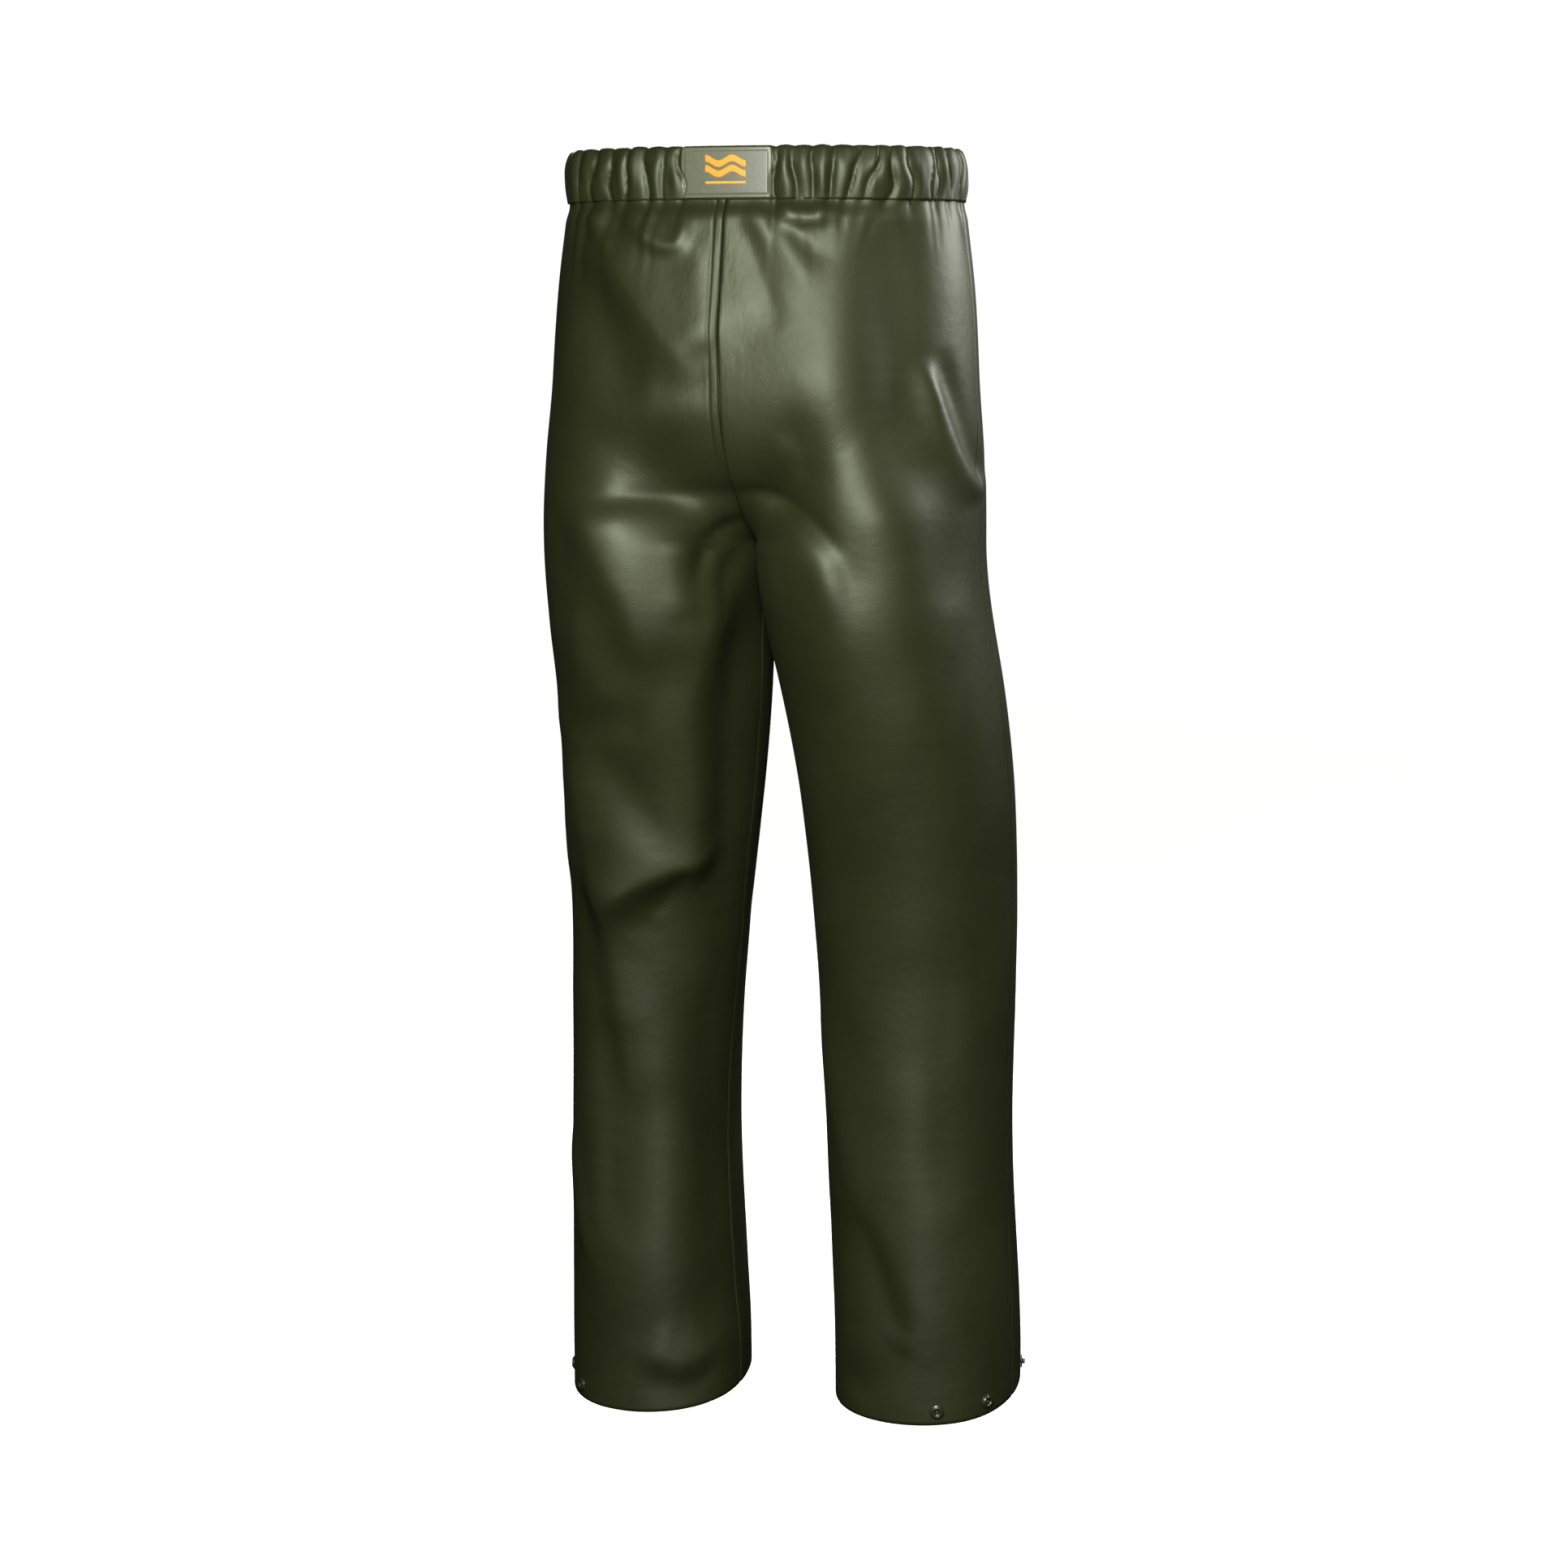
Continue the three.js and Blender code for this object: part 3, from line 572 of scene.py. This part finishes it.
# %% PU-coated knit
def coated_knit(name, colour, darker):
    """A knit with a satin film on its face, drifting between two tones."""
    made, tree, shader = new_material(name)
    where = add_node(tree, "ShaderNodeTexCoord")
    cloud = add_node(tree, "ShaderNodeTexNoise", {"Vector": where.outputs["Object"], "Scale": 1 / 0.08,
                                                  "Detail": 3.0, "Roughness": 0.55})
    spread = add_node(tree, "ShaderNodeMapRange", {"Value": cloud.outputs["Fac"], "From Min": 0.3,
                                                   "From Max": 0.7, "To Min": 0.0, "To Max": 1.0})
    tone = add_node(tree, "ShaderNodeMix", {"Factor": spread.outputs["Result"]}, data_type="RGBA")
    # this node has sockets of each type under the same names, so the colour ones are picked out
    for socket, shade in zip([i for i in tone.inputs if i.type == "RGBA"], (darker, colour)):
        socket.default_value = linear(shade)
    tree.links.new([o for o in tone.outputs if o.type == "RGBA"][0], shader.inputs["Base Color"])
    gloss = add_node(tree, "ShaderNodeMapRange", {"Value": cloud.outputs["Fac"], "From Min": 0.3,
                                                  "From Max": 0.7, "To Min": 0.5, "To Max": 0.57})
    tree.links.new(gloss.outputs["Result"], shader.inputs["Roughness"])
    grain = add_node(tree, "ShaderNodeTexNoise", {"Vector": where.outputs["UV"], "Scale": 1 / 0.0018,
                                                  "Detail": 2.0, "Roughness": 0.6})
    dents = add_node(tree, "ShaderNodeTexNoise", {"Vector": where.outputs["UV"], "Scale": 1 / 0.014,
                                                  "Detail": 2.0, "Roughness": 0.5})
    soft = add_node(tree, "ShaderNodeBump", {"Height": dents.outputs["Fac"], "Strength": 0.35,
                                             "Distance": 0.0009})
    bump = add_node(tree, "ShaderNodeBump", {"Height": grain.outputs["Fac"], "Strength": 0.3,
                                             "Distance": 0.00025, "Normal": soft.outputs["Normal"]})
    tree.links.new(bump.outputs["Normal"], shader.inputs["Normal"])
    set_shader(shader, IOR=1.52, Specular_Tint=linear("#F4FBDC"))
    return made


olive_knit = coated_knit("pu_coated_knit_olive", "#24270F", "#20230D")
print("material", olive_knit.name)

# %% [markdown]
# ### Backing, tape, elastic, label and snaps
# The knit's bare back is matt. The seam tape is a thin heat-sealed film, a little milky. The label is
# a smooth coated patch with a rubbery printed mark. The snaps are pressed brass with a dark olive
# lacquer, so they are metal under a thin glossy colour.

# %% Other materials
def woven(name, colour, darker, pitch, roughness, depth):
    """Cloth with crossing ribs, pitch metres apart."""
    made, tree, shader = new_material(name)
    where = add_node(tree, "ShaderNodeTexCoord")
    scale = 1 / (math.pi * pitch)  # a wave of scale 1 repeats after about 1 / pi metres
    ribs = [add_node(tree, "ShaderNodeTexWave", {"Vector": where.outputs["UV"], "Scale": scale},
                     bands_direction=way, wave_profile="SIN") for way in ("X", "Y")]
    cross = add_node(tree, "ShaderNodeMath", operation="MAXIMUM")
    for socket, rib in zip(cross.inputs, ribs):
        tree.links.new(rib.outputs["Fac"], socket)
    tone = add_node(tree, "ShaderNodeValToRGB", {"Fac": cross.outputs["Value"]})
    tone.color_ramp.elements[0].color = linear(darker)
    tone.color_ramp.elements[1].color = linear(colour)
    bump = add_node(tree, "ShaderNodeBump", {"Height": cross.outputs["Value"], "Strength": 0.6,
                                             "Distance": depth})
    tree.links.new(tone.outputs["Color"], shader.inputs["Base Color"])
    tree.links.new(bump.outputs["Normal"], shader.inputs["Normal"])
    set_shader(shader, Roughness=roughness)
    return made


def film(name, colour, darker, roughness, size, depth, metallic=0.0, coat=0.0):
    """A smooth material with a slight unevenness of size metres in tone and surface."""
    made, tree, shader = new_material(name)
    where = add_node(tree, "ShaderNodeTexCoord")
    uneven = add_node(tree, "ShaderNodeTexNoise", {"Vector": where.outputs["Object"], "Scale": 1 / size,
                                                   "Detail": 3.0})
    tone = add_node(tree, "ShaderNodeValToRGB", {"Fac": uneven.outputs["Fac"]})
    tone.color_ramp.elements[0].position, tone.color_ramp.elements[1].position = 0.35, 0.65
    tone.color_ramp.elements[0].color = linear(darker)
    tone.color_ramp.elements[1].color = linear(colour)
    bump = add_node(tree, "ShaderNodeBump", {"Height": uneven.outputs["Fac"], "Strength": 0.3,
                                             "Distance": depth})
    tree.links.new(tone.outputs["Color"], shader.inputs["Base Color"])
    tree.links.new(bump.outputs["Normal"], shader.inputs["Normal"])
    set_shader(shader, Roughness=roughness, Metallic=metallic, Coat_Weight=coat)
    return made


backing_knit = woven("polyester_knit_back", "#454A36", "#33372A", 0.0016, 0.9, 0.0003)
elastic_weave = woven("woven_elastic", "#34372C", "#1F211B", 0.0022, 0.85, 0.0004)
seam_film = film("heat_sealed_seam_tape", "#5B604D", "#52573F", 0.5, 0.006, 0.0002)
label_film = film("coated_label_patch", "#585B45", "#525540", 0.42, 0.003, 0.00012)
mark_rubber = film("printed_silicone_mark", "#EC8F12", "#E5870E", 0.5, 0.002, 0.0001)
snap_lacquer = film("lacquered_brass_snap", "#4A4F38", "#3F4430", 0.38, 0.0015, 0.00005, 0.7, 0.4)
print(len(bpy.data.materials), "materials")

# %% [markdown]
# ## The four panels
# Each panel runs in one length from the waistband to the hem, so it crosses the CAD split at the hip.
# Columns are closer together near the seams, where the grooves and the lap need them.

# %% Panels
PANEL_TOP = BAND_HEIGHT - SEAM_ALLOWANCE
CLOTH_WALL = 0.9
FLAT_PANEL = (0.34, 1.06)  # the cut's widest part and its length
PANEL_STEPS, PANEL_CROWD = (110, 300), 0.6
LEG_MIDDLE, LEG_BEHIND = 105, 38  # roughly where a leg's middle lies, to tell outwards from inwards


def bend_at_hip(made):
    """Bakes a piece's placement into its mesh."""
    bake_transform(made)


def outward(leg):
    """Outward directions for a piece of one leg, for points in millimetres."""
    middle = LEGS[leg]["side"] * LEG_MIDDLE
    return lambda p: (p.x - middle, p.y + (0 if p.z > -RISE else LEG_BEHIND), 0)


def on_cloth(leg, turns, drops, depth=0, crowd=0.0):
    """A place function for a sheet that lies on the cloth between two turns and two drops. crowd
    moves its columns towards both edges."""
    def place(u, v):
        u = u - crowd * np.sin(2 * np.pi * u) / (2 * np.pi)
        turn = turns[0] + (turns[1] - turns[0]) * u
        drop = drops[1] + (drops[0] - drops[1]) * v
        return cloth(leg, turn, drop, depth)
    return place


for leg in LEGS:
    for half, turns in (("back", (0, 0.5)), ("front", (0.5, 1))):
        name = f"{leg}_{half}_panel"
        place = on_cloth(leg, turns, (PANEL_TOP, HEM), crowd=PANEL_CROWD)
        bm = sheet_mesh(*PANEL_STEPS, place, FLAT_PANEL, outward(leg))
        made = give_wall(finished(bm, name, [olive_knit, backing_knit]), CLOTH_WALL, 1)
        bend_at_hip(made)
        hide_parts(f"{name}_upper", f"{name}_lower")
        print(name, len(made.data.polygons), "faces")

# %% [markdown]
# ## Waistband
# The casing is one strip of the same cloth, folded over the elastic. Its section is drawn once, from
# the outer lower edge over the top to the inner lower edge, and carried round the waist with the
# gathers. The top edge rises a little on each puff and dips in each valley.

# %% Waistband casing and elastic
FLAT_BAND, FLAT_ELASTIC = (1.04, 0.09), (0.8, 0.033)
CASING_DEPTH = 4.1
CASING_TOP = 3.0
TOP_ROWS = 1.1  # the turn at the top takes more rows than its length would give it, as it bends most
TOP_RISE, TOP_RISE_HEIGHT = 0.3, 14
BAND_PUCKER, BAND_PUCKER_SIZE, PUCKER_STRETCH = 1.6, 9, 0.35
BAND_BLEND = 8  # distance beside the label over which the band's own unevenness starts
BAND_BARREL = 1.6  # how far the middle of the band's height stands out
BAND_ROLL, BAND_ROLL_HEIGHT = 3.5, 15  # how far the top edge turns in
BAND_STEPS, SECTION_STEPS = 600, 44
ELASTIC_DROPS, ELASTIC_IN, ELASTIC_WALL = (1.6, 34.5), 1.35, 1.2


def band_point(band_turn, out, drop):
    """Points round the waistband, out millimetres from its face."""
    def at(t):
        return np.stack(oval(2 * np.pi * t, WAIST_WIDTH / 2, WAIST_DEPTH / 2), axis=1)
    step = 1e-4
    along = at(band_turn + step) - at(band_turn - step)
    along /= np.linalg.norm(along, axis=1, keepdims=True)
    place = at(band_turn)
    flat = np.stack([place[:, 0], place[:, 1], -PUCKER_STRETCH * drop], axis=1) / BAND_PUCKER_SIZE
    pucker = BAND_PUCKER * np.array([noise.noise(Vector(p)) for p in flat])
    beside = ease(LABEL_HALF - LABEL_BLEND, LABEL_HALF + BAND_BLEND, from_label(band_turn * GIRTH))
    barrel = BAND_BARREL * np.sin(np.pi * np.clip(drop / BAND_HEIGHT, 0, 1))
    roll = BAND_ROLL * np.clip(1 - drop / BAND_ROLL_HEIGHT, 0, 1) ** 2
    out = out + gathers(band_turn, drop) + beside * (pucker + barrel - roll)
    return np.stack([place[:, 0] - along[:, 1] * out, place[:, 1] + along[:, 0] * out, -drop], axis=1)


def casing_section(v):
    """(out, drop) of the casing's face, from its outer lower edge over the top to the inner one."""
    wall = BAND_HEIGHT - CASING_TOP
    over = TOP_ROWS * (CASING_DEPTH / 2 + CASING_TOP)
    s = v * (2 * wall + 2 * over)
    angle = np.clip((s - wall) / (2 * over), 0, 1) * np.pi
    out = -CASING_DEPTH / 2 * (1 - np.cos(angle))
    drop = CASING_TOP * (1 - np.sin(angle))
    drop = np.where(s < wall, BAND_HEIGHT - s, drop)
    drop = np.where(s > wall + 2 * over, CASING_TOP + (s - wall - 2 * over), drop)
    return out, drop


def casing_place(u, v):
    """Points of the casing, its top edge raised on each puff."""
    out, drop = casing_section(v)
    swell = gathers(u, np.full_like(u, BAND_HEIGHT / 2))
    points = band_point(u % 1, out, drop)
    points[:, 2] += TOP_RISE * swell * ease(TOP_RISE_HEIGHT, 0, drop)
    return points


def away_from_axis(p):
    return (p.x, p.y, 0)


bm = sheet_mesh(BAND_STEPS, SECTION_STEPS, casing_place, FLAT_BAND, away_from_axis, ring=True)
waistband = give_wall(finished(bm, "waistband", [olive_knit, backing_knit], "seat"), CLOTH_WALL, 1)
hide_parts("waistband_casing")


def elastic_place(u, v):
    drop = ELASTIC_DROPS[1] + (ELASTIC_DROPS[0] - ELASTIC_DROPS[1]) * v
    return band_point(u % 1, np.full_like(u, -ELASTIC_IN), drop)


bm = sheet_mesh(BAND_STEPS, 6, elastic_place, FLAT_ELASTIC, away_from_axis, ring=True)
elastic = give_wall(finished(bm, "elastic_band", [elastic_weave], "seat"), ELASTIC_WALL)
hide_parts("waist_elastic")
print("waistband", len(waistband.data.polygons), "faces")

# %% [markdown]
# ## Label patch and its mark
# A patch 76 by 40 mm is sewn over the middle of the waistband. Its edge is pulled down by the
# stitching and its middle stands a little proud. The mark is two waves over a bar, plain shapes that
# stand for whatever a maker would print.

# %% Label
FLAT_LABEL = (LABEL_WIDTH * MM, LABEL_HEIGHT * MM)
LABEL_CORNER = 2.5
LABEL_OUT, LABEL_WALL = 1.5, 0.8
LABEL_PILLOW, PILLOW_EDGE = 0.8, 4
STITCH_GROOVE, STITCH_IN, STITCH_WIDTH = 0.5, 2.4, 0.6
MARK_WIDTH, MARK_WALL = 34, 0.45
MARK_OUT = LABEL_OUT + LABEL_PILLOW + 0.4


def label_point(x, up, out):
    """Places flat label coordinates on the band. x runs to the wearer's left."""
    return band_point((x * BACK_SCALE / GIRTH) % 1, out, BAND_HEIGHT / 2 - up)


def label_place(u, v):
    """Points of the patch, with round corners and a groove where the stitching pulls it down."""
    x, up = (u - 0.5) * LABEL_WIDTH, (v - 0.5) * LABEL_HEIGHT
    straight_x, straight_up = LABEL_WIDTH / 2 - LABEL_CORNER, LABEL_HEIGHT / 2 - LABEL_CORNER
    corner_x = np.maximum(np.abs(x) - straight_x, 0)
    corner_up = np.maximum(np.abs(up) - straight_up, 0)
    longer = np.maximum(np.maximum(corner_x, corner_up), 1e-9)
    shrink = np.maximum(np.hypot(corner_x, corner_up) / longer, 1)
    x = np.sign(x) * (np.minimum(np.abs(x), straight_x) + corner_x / shrink)
    up = np.sign(up) * (np.minimum(np.abs(up), straight_up) + corner_up / shrink)
    edge = np.minimum(LABEL_WIDTH / 2 - np.abs(x), LABEL_HEIGHT / 2 - np.abs(up))
    stitching = STITCH_GROOVE * np.exp(-(((edge - STITCH_IN) / STITCH_WIDTH) ** 2))
    return label_point(x, up, LABEL_OUT + LABEL_PILLOW * ease(0, PILLOW_EDGE, edge) - stitching)


def behind(p):
    return (0, 1, 0)


def in_front(p):
    return (0, -1, 0)


bm = sheet_mesh(120, 64, label_place, FLAT_LABEL, behind)
label = give_wall(finished(bm, "label", [label_film], "seat"), LABEL_WALL)
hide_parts("label_patch")


def mark(name, node, height, up, wave):
    """A strip of the printed mark, with wave millimetres of swing."""
    def place(u, v):
        x = (u - 0.5) * MARK_WIDTH
        swing = wave / 2 * np.sin(3 * np.pi * x / MARK_WIDTH)
        return label_point(-x, up + swing + (v - 0.5) * height, np.full_like(u, MARK_OUT))
    bm = sheet_mesh(48, 6, place, (MARK_WIDTH * MM, height * MM), behind)
    made = give_wall(finished(bm, name, [mark_rubber], "seat"), MARK_WALL)
    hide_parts(node)
    return made


marks = [mark("mark_wave_upper", "label_wave_1", 5.5, 9, 4.5),
         mark("mark_wave_lower", "label_wave_2", 5.5, 1, 4.5),
         mark("mark_bar", "label_bar", 2, -8, 0)]
print("label and", len(marks), "marks")

# %% [markdown]
# ## Tapes and turned-up hems
# Inside, a tape 20 mm wide covers each seam, and the lower edge is turned up 25 mm. They are made
# like the panels, from the same cloth function a little deeper, so they follow every fold.

# %% Tapes and hems
TAPE_WIDTH, TAPE_WALL, TAPE_DEPTH = 20, 0.4, 1.2
FACING_HEIGHT, FACING_DEPTH = 25, 1.3
FLAT_FACING = (0.5, FACING_HEIGHT * MM)
TAPE_TOP, INSEAM_TAPE_TOP, CENTRE_TAPE_END = FULLEST, RISE + 34, 225
TAPE_END = HEM - FACING_HEIGHT - 3


def tape(name, leg, at, drops, nodes):
    """A strip over a seam, along one turn."""
    def place(u, v):
        drop = drops[1] + (drops[0] - drops[1]) * v
        step = 0.004
        width = np.linalg.norm(plain_cloth(leg, at + step, drop) - plain_cloth(leg, at - step, drop), axis=1)
        turn = at + (u - 0.5) * TAPE_WIDTH * 2 * step / width
        return cloth(leg, turn % 1, drop, TAPE_DEPTH)
    size = (TAPE_WIDTH * MM, (drops[1] - drops[0]) * MM)
    bm = sheet_mesh(8, 240, place, size, outward(leg))
    made = give_wall(finished(bm, name, [seam_film]), TAPE_WALL)
    bend_at_hip(made)
    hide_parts(*nodes)


for leg in LEGS:
    for seam, at, top in (("side", 0.5, TAPE_TOP), ("inseam", 0, INSEAM_TAPE_TOP)):
        nodes = [f"{leg}_{seam}_tape_{part}" for part in ("upper", "lower")]
        tape(f"{leg}_{seam}_seam_tape", leg, at, (top, TAPE_END), nodes)
    place = on_cloth(leg, (0, 1), (HEM - FACING_HEIGHT, HEM - 0.5), depth=FACING_DEPTH)
    bm = sheet_mesh(220, 10, place, FLAT_FACING, outward(leg), ring=True)
    made = give_wall(finished(bm, f"{leg}_turned_up_hem", [backing_knit], f"{leg}_leg"), CLOTH_WALL)
    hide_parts(f"{leg}_hem_facing")


def centre_tape(name, node, at, face_out):
    """A tape over the seat seam, half on each side of the middle. at is the seam's turn, 0 or 1."""
    def place(u, v):
        drop = CENTRE_TAPE_END + (TAPE_TOP - CENTRE_TAPE_END) * v
        x = (u - 0.5) * TAPE_WIDTH
        step = 0.002
        points = np.zeros((len(u), 3))
        for leg, cut in LEGS.items():
            mine = x * cut["side"] >= 0
            here = drop[mine]
            beside = plain_cloth(leg, np.full_like(here, abs(at - step)), here)
            turn = np.abs(at - np.abs(x[mine]) * step / np.abs(beside[:, 0]))
            points[mine] = cloth(leg, turn, here, TAPE_DEPTH)
        return points
    size = (TAPE_WIDTH * MM, (CENTRE_TAPE_END - TAPE_TOP) * MM)
    bm = sheet_mesh(8, 80, place, size, face_out)
    made = give_wall(finished(bm, name, [seam_film], "seat"), TAPE_WALL)
    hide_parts(node)


centre_tape("centre_back_seam_tape", "centre_back_tape", 0, behind)
centre_tape("centre_front_seam_tape", "centre_front_tape", 1, in_front)
print("tapes and hems made")

# %% [markdown]
# ## Press snaps
# Each leg has two sockets and a stud on its hem, so that the hem can be drawn in by one of two
# amounts. A cap inside holds each one through the cloth. All are turned parts, so their outlines are
# spun, and a Bevel would only round what the outline already rounds.

# %% Press snaps
SNAP_FROM_HEM = 12
SNAP_TURNS = (0.33, 0.42, 0.575)  # first socket, second socket and stud
SNAP_STEPS = 40
# outlines as (radius, height over the cloth's face)
SOCKET = [(1.6, 0.1), (6.0, 0.1), (6.3, 0.35), (6.3, 0.9), (6.0, 1.25), (5.2, 1.45), (4.9, 1.7),
          (4.7, 2.25), (4.2, 2.5), (3.5, 2.5), (3.1, 2.2), (2.9, 1.5), (2.6, 1.35), (1.6, 1.35)]
STUD = [(1.5, 0.1), (5.5, 0.1), (5.8, 0.3), (5.8, 0.7), (5.4, 1.1), (3.0, 1.3), (2.2, 1.6), (2.0, 2.4),
        (2.4, 2.8), (2.4, 3.2), (2.0, 3.6), (1.5, 3.7)]
CAP = [(0, -3.3), (3.8, -3.3), (5.2, -3.1), (6.1, -2.7), (6.1, -2.3), (5.6, -2.2), (1.4, -2.2),
       (1.4, 1.4), (0.9, 1.7), (0, 1.8)]


def snap_frame(leg, turn):
    """Where a snap sits on the cloth, its axis pointing out."""
    turn_step, drop_step = 0.004, 3.0
    turns = turn + np.array([0, turn_step, -turn_step, 0, 0])
    drops = HEM - SNAP_FROM_HEM + np.array([0, 0, 0, drop_step, -drop_step])
    middle, after, before, below, above = [Vector(p) * MM for p in cloth(leg, turns, drops)]
    out = (after - before).cross(below - above).normalized() * LEGS[leg]["side"]
    return Matrix.Translation(middle) @ out.to_track_quat("Z", "Y").to_matrix().to_4x4()


def turned(name, outline, where, leg, node, closed):
    """Spins an outline into a turned part. A closed outline makes a ring."""
    bm = bmesh.new()
    verts = [bm.verts.new((r * MM, 0, h * MM)) for r, h in outline]
    edges = [bm.edges.new(pair) for pair in zip(verts, verts[1:])]
    if closed:
        edges.append(bm.edges.new((verts[-1], verts[0])))
    bmesh.ops.spin(bm, geom=verts + edges, cent=(0, 0, 0), axis=(0, 0, 1), angle=2 * math.pi,
                   steps=SNAP_STEPS, use_merge=True)
    bmesh.ops.remove_doubles(bm, verts=bm.verts, dist=1e-6)
    bmesh.ops.recalc_face_normals(bm, faces=bm.faces)
    bmesh.ops.transform(bm, matrix=where, verts=bm.verts)
    made = finished(bm, name, [snap_lacquer], f"{leg}_leg")
    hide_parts(node)


for leg in LEGS:
    for n, turn in enumerate(SNAP_TURNS, 1):
        where = snap_frame(leg, turn)
        kind, outline = ("stud", STUD) if n == len(SNAP_TURNS) else (f"socket_{n}", SOCKET)
        turned(f"{leg}_press_{kind}", outline, where, leg, f"{leg}_snap_{kind}", closed=True)
        turned(f"{leg}_press_cap_{n}", CAP, where, leg, f"{leg}_snap_cap_{n}", closed=False)
print("snaps made")

# %% [markdown]

# %% [markdown]
# ## Floor, backdrop and light
# A pale studio sweep all round, a soft light a little to the left of the camera and above it, a dim
# one below it for the legs, and a narrow one far to the right for the edge of the hip. A large one
# lights the front. The sweep doesn't light the cloth, as in a studio where the white is far behind,
# so the sides of the legs stay dark.

# %% Studio
FLOOR = -1.30
SWEEP_RADIUS, SWEEP_HEIGHT, SWEEP_CURVE = 7.0, 6.0, 1.5
AIR_LIGHT = 0.008
white, tree, shader = new_material("matt_white_studio_paint")
mottle = add_node(tree, "ShaderNodeTexNoise", {"Scale": 0.6})
pale = add_node(tree, "ShaderNodeValToRGB", {"Fac": mottle.outputs["Fac"]})
pale.color_ramp.elements[0].color = linear("#FBFBFA")
pale.color_ramp.elements[1].color = linear("#FEFEFD")
tree.links.new(pale.outputs["Color"], shader.inputs["Base Color"])
tree.links.new(pale.outputs["Color"], shader.inputs["Emission Color"])
set_shader(shader, Roughness=0.9, Emission_Strength=1.0)

outline = [(0, 0, FLOOR), (SWEEP_RADIUS, 0, FLOOR), (SWEEP_RADIUS, 0, FLOOR + SWEEP_HEIGHT)]
bm = bmesh.new()
corners = [bm.verts.new(p) for p in outline]
for pair in zip(corners, corners[1:]):
    bm.edges.new(pair)
bmesh.ops.bevel(bm, geom=[corners[1]], offset=SWEEP_CURVE, offset_type="OFFSET", segments=12, profile=0.5,
                affect="VERTICES", material=-1)
bmesh.ops.spin(bm, geom=bm.verts[:] + bm.edges[:], cent=(0, 0, 0), axis=(0, 0, 1), angle=2 * math.pi,
               steps=64, use_merge=True)
bmesh.ops.remove_doubles(bm, verts=bm.verts, dist=1e-5)
bmesh.ops.recalc_face_normals(bm, faces=bm.faces)
bmesh.ops.reverse_faces(bm, faces=bm.faces)
sweep = finished(bm, "studio_sweep", [white])
sweep.visible_diffuse = sweep.visible_glossy = sweep.visible_shadow = False


def softbox(name, azimuth, height, distance, size, power, aim):
    """A soft area light. azimuth is counted as the camera's, in degrees."""
    data = bpy.data.lights.new(name, "AREA")
    data.shape = "RECTANGLE"
    data.size, data.size_y = size
    data.energy = power
    made = bpy.data.objects.new(name, data)
    angle = math.radians(azimuth)
    made.location = (math.sin(angle) * distance, -math.cos(angle) * distance, height)
    made.rotation_euler = (Vector(aim) - made.location).to_track_quat("-Z", "Y").to_euler()
    made.visible_camera = False
    bpy.context.scene.collection.objects.link(made)


# name, azimuth, height, distance, size, power and aim
softbox("key_light", 191, 0.30, 1.9, (0.6, 0.7), 66, (0, 0, -0.30))
softbox("low_light", 188, -0.45, 2.4, (1.0, 1.4), 8, (0, 0, -0.7))
softbox("edge_light", 300, 0.22, 1.1, (0.25, 0.4), 13, (-0.18, 0, -0.14))
softbox("front_light", 20, 0.9, 2.4, (1.2, 1.2), 60, (0, 0, -0.5))
world = bpy.data.worlds.new("studio_air")
world.use_nodes = True
air = world.node_tree.nodes["Background"]
air.inputs["Color"].default_value = (1, 1, 1, 1)
air.inputs["Strength"].default_value = AIR_LIGHT
bpy.context.scene.world = world
bpy.context.scene.view_settings.view_transform = "Standard"
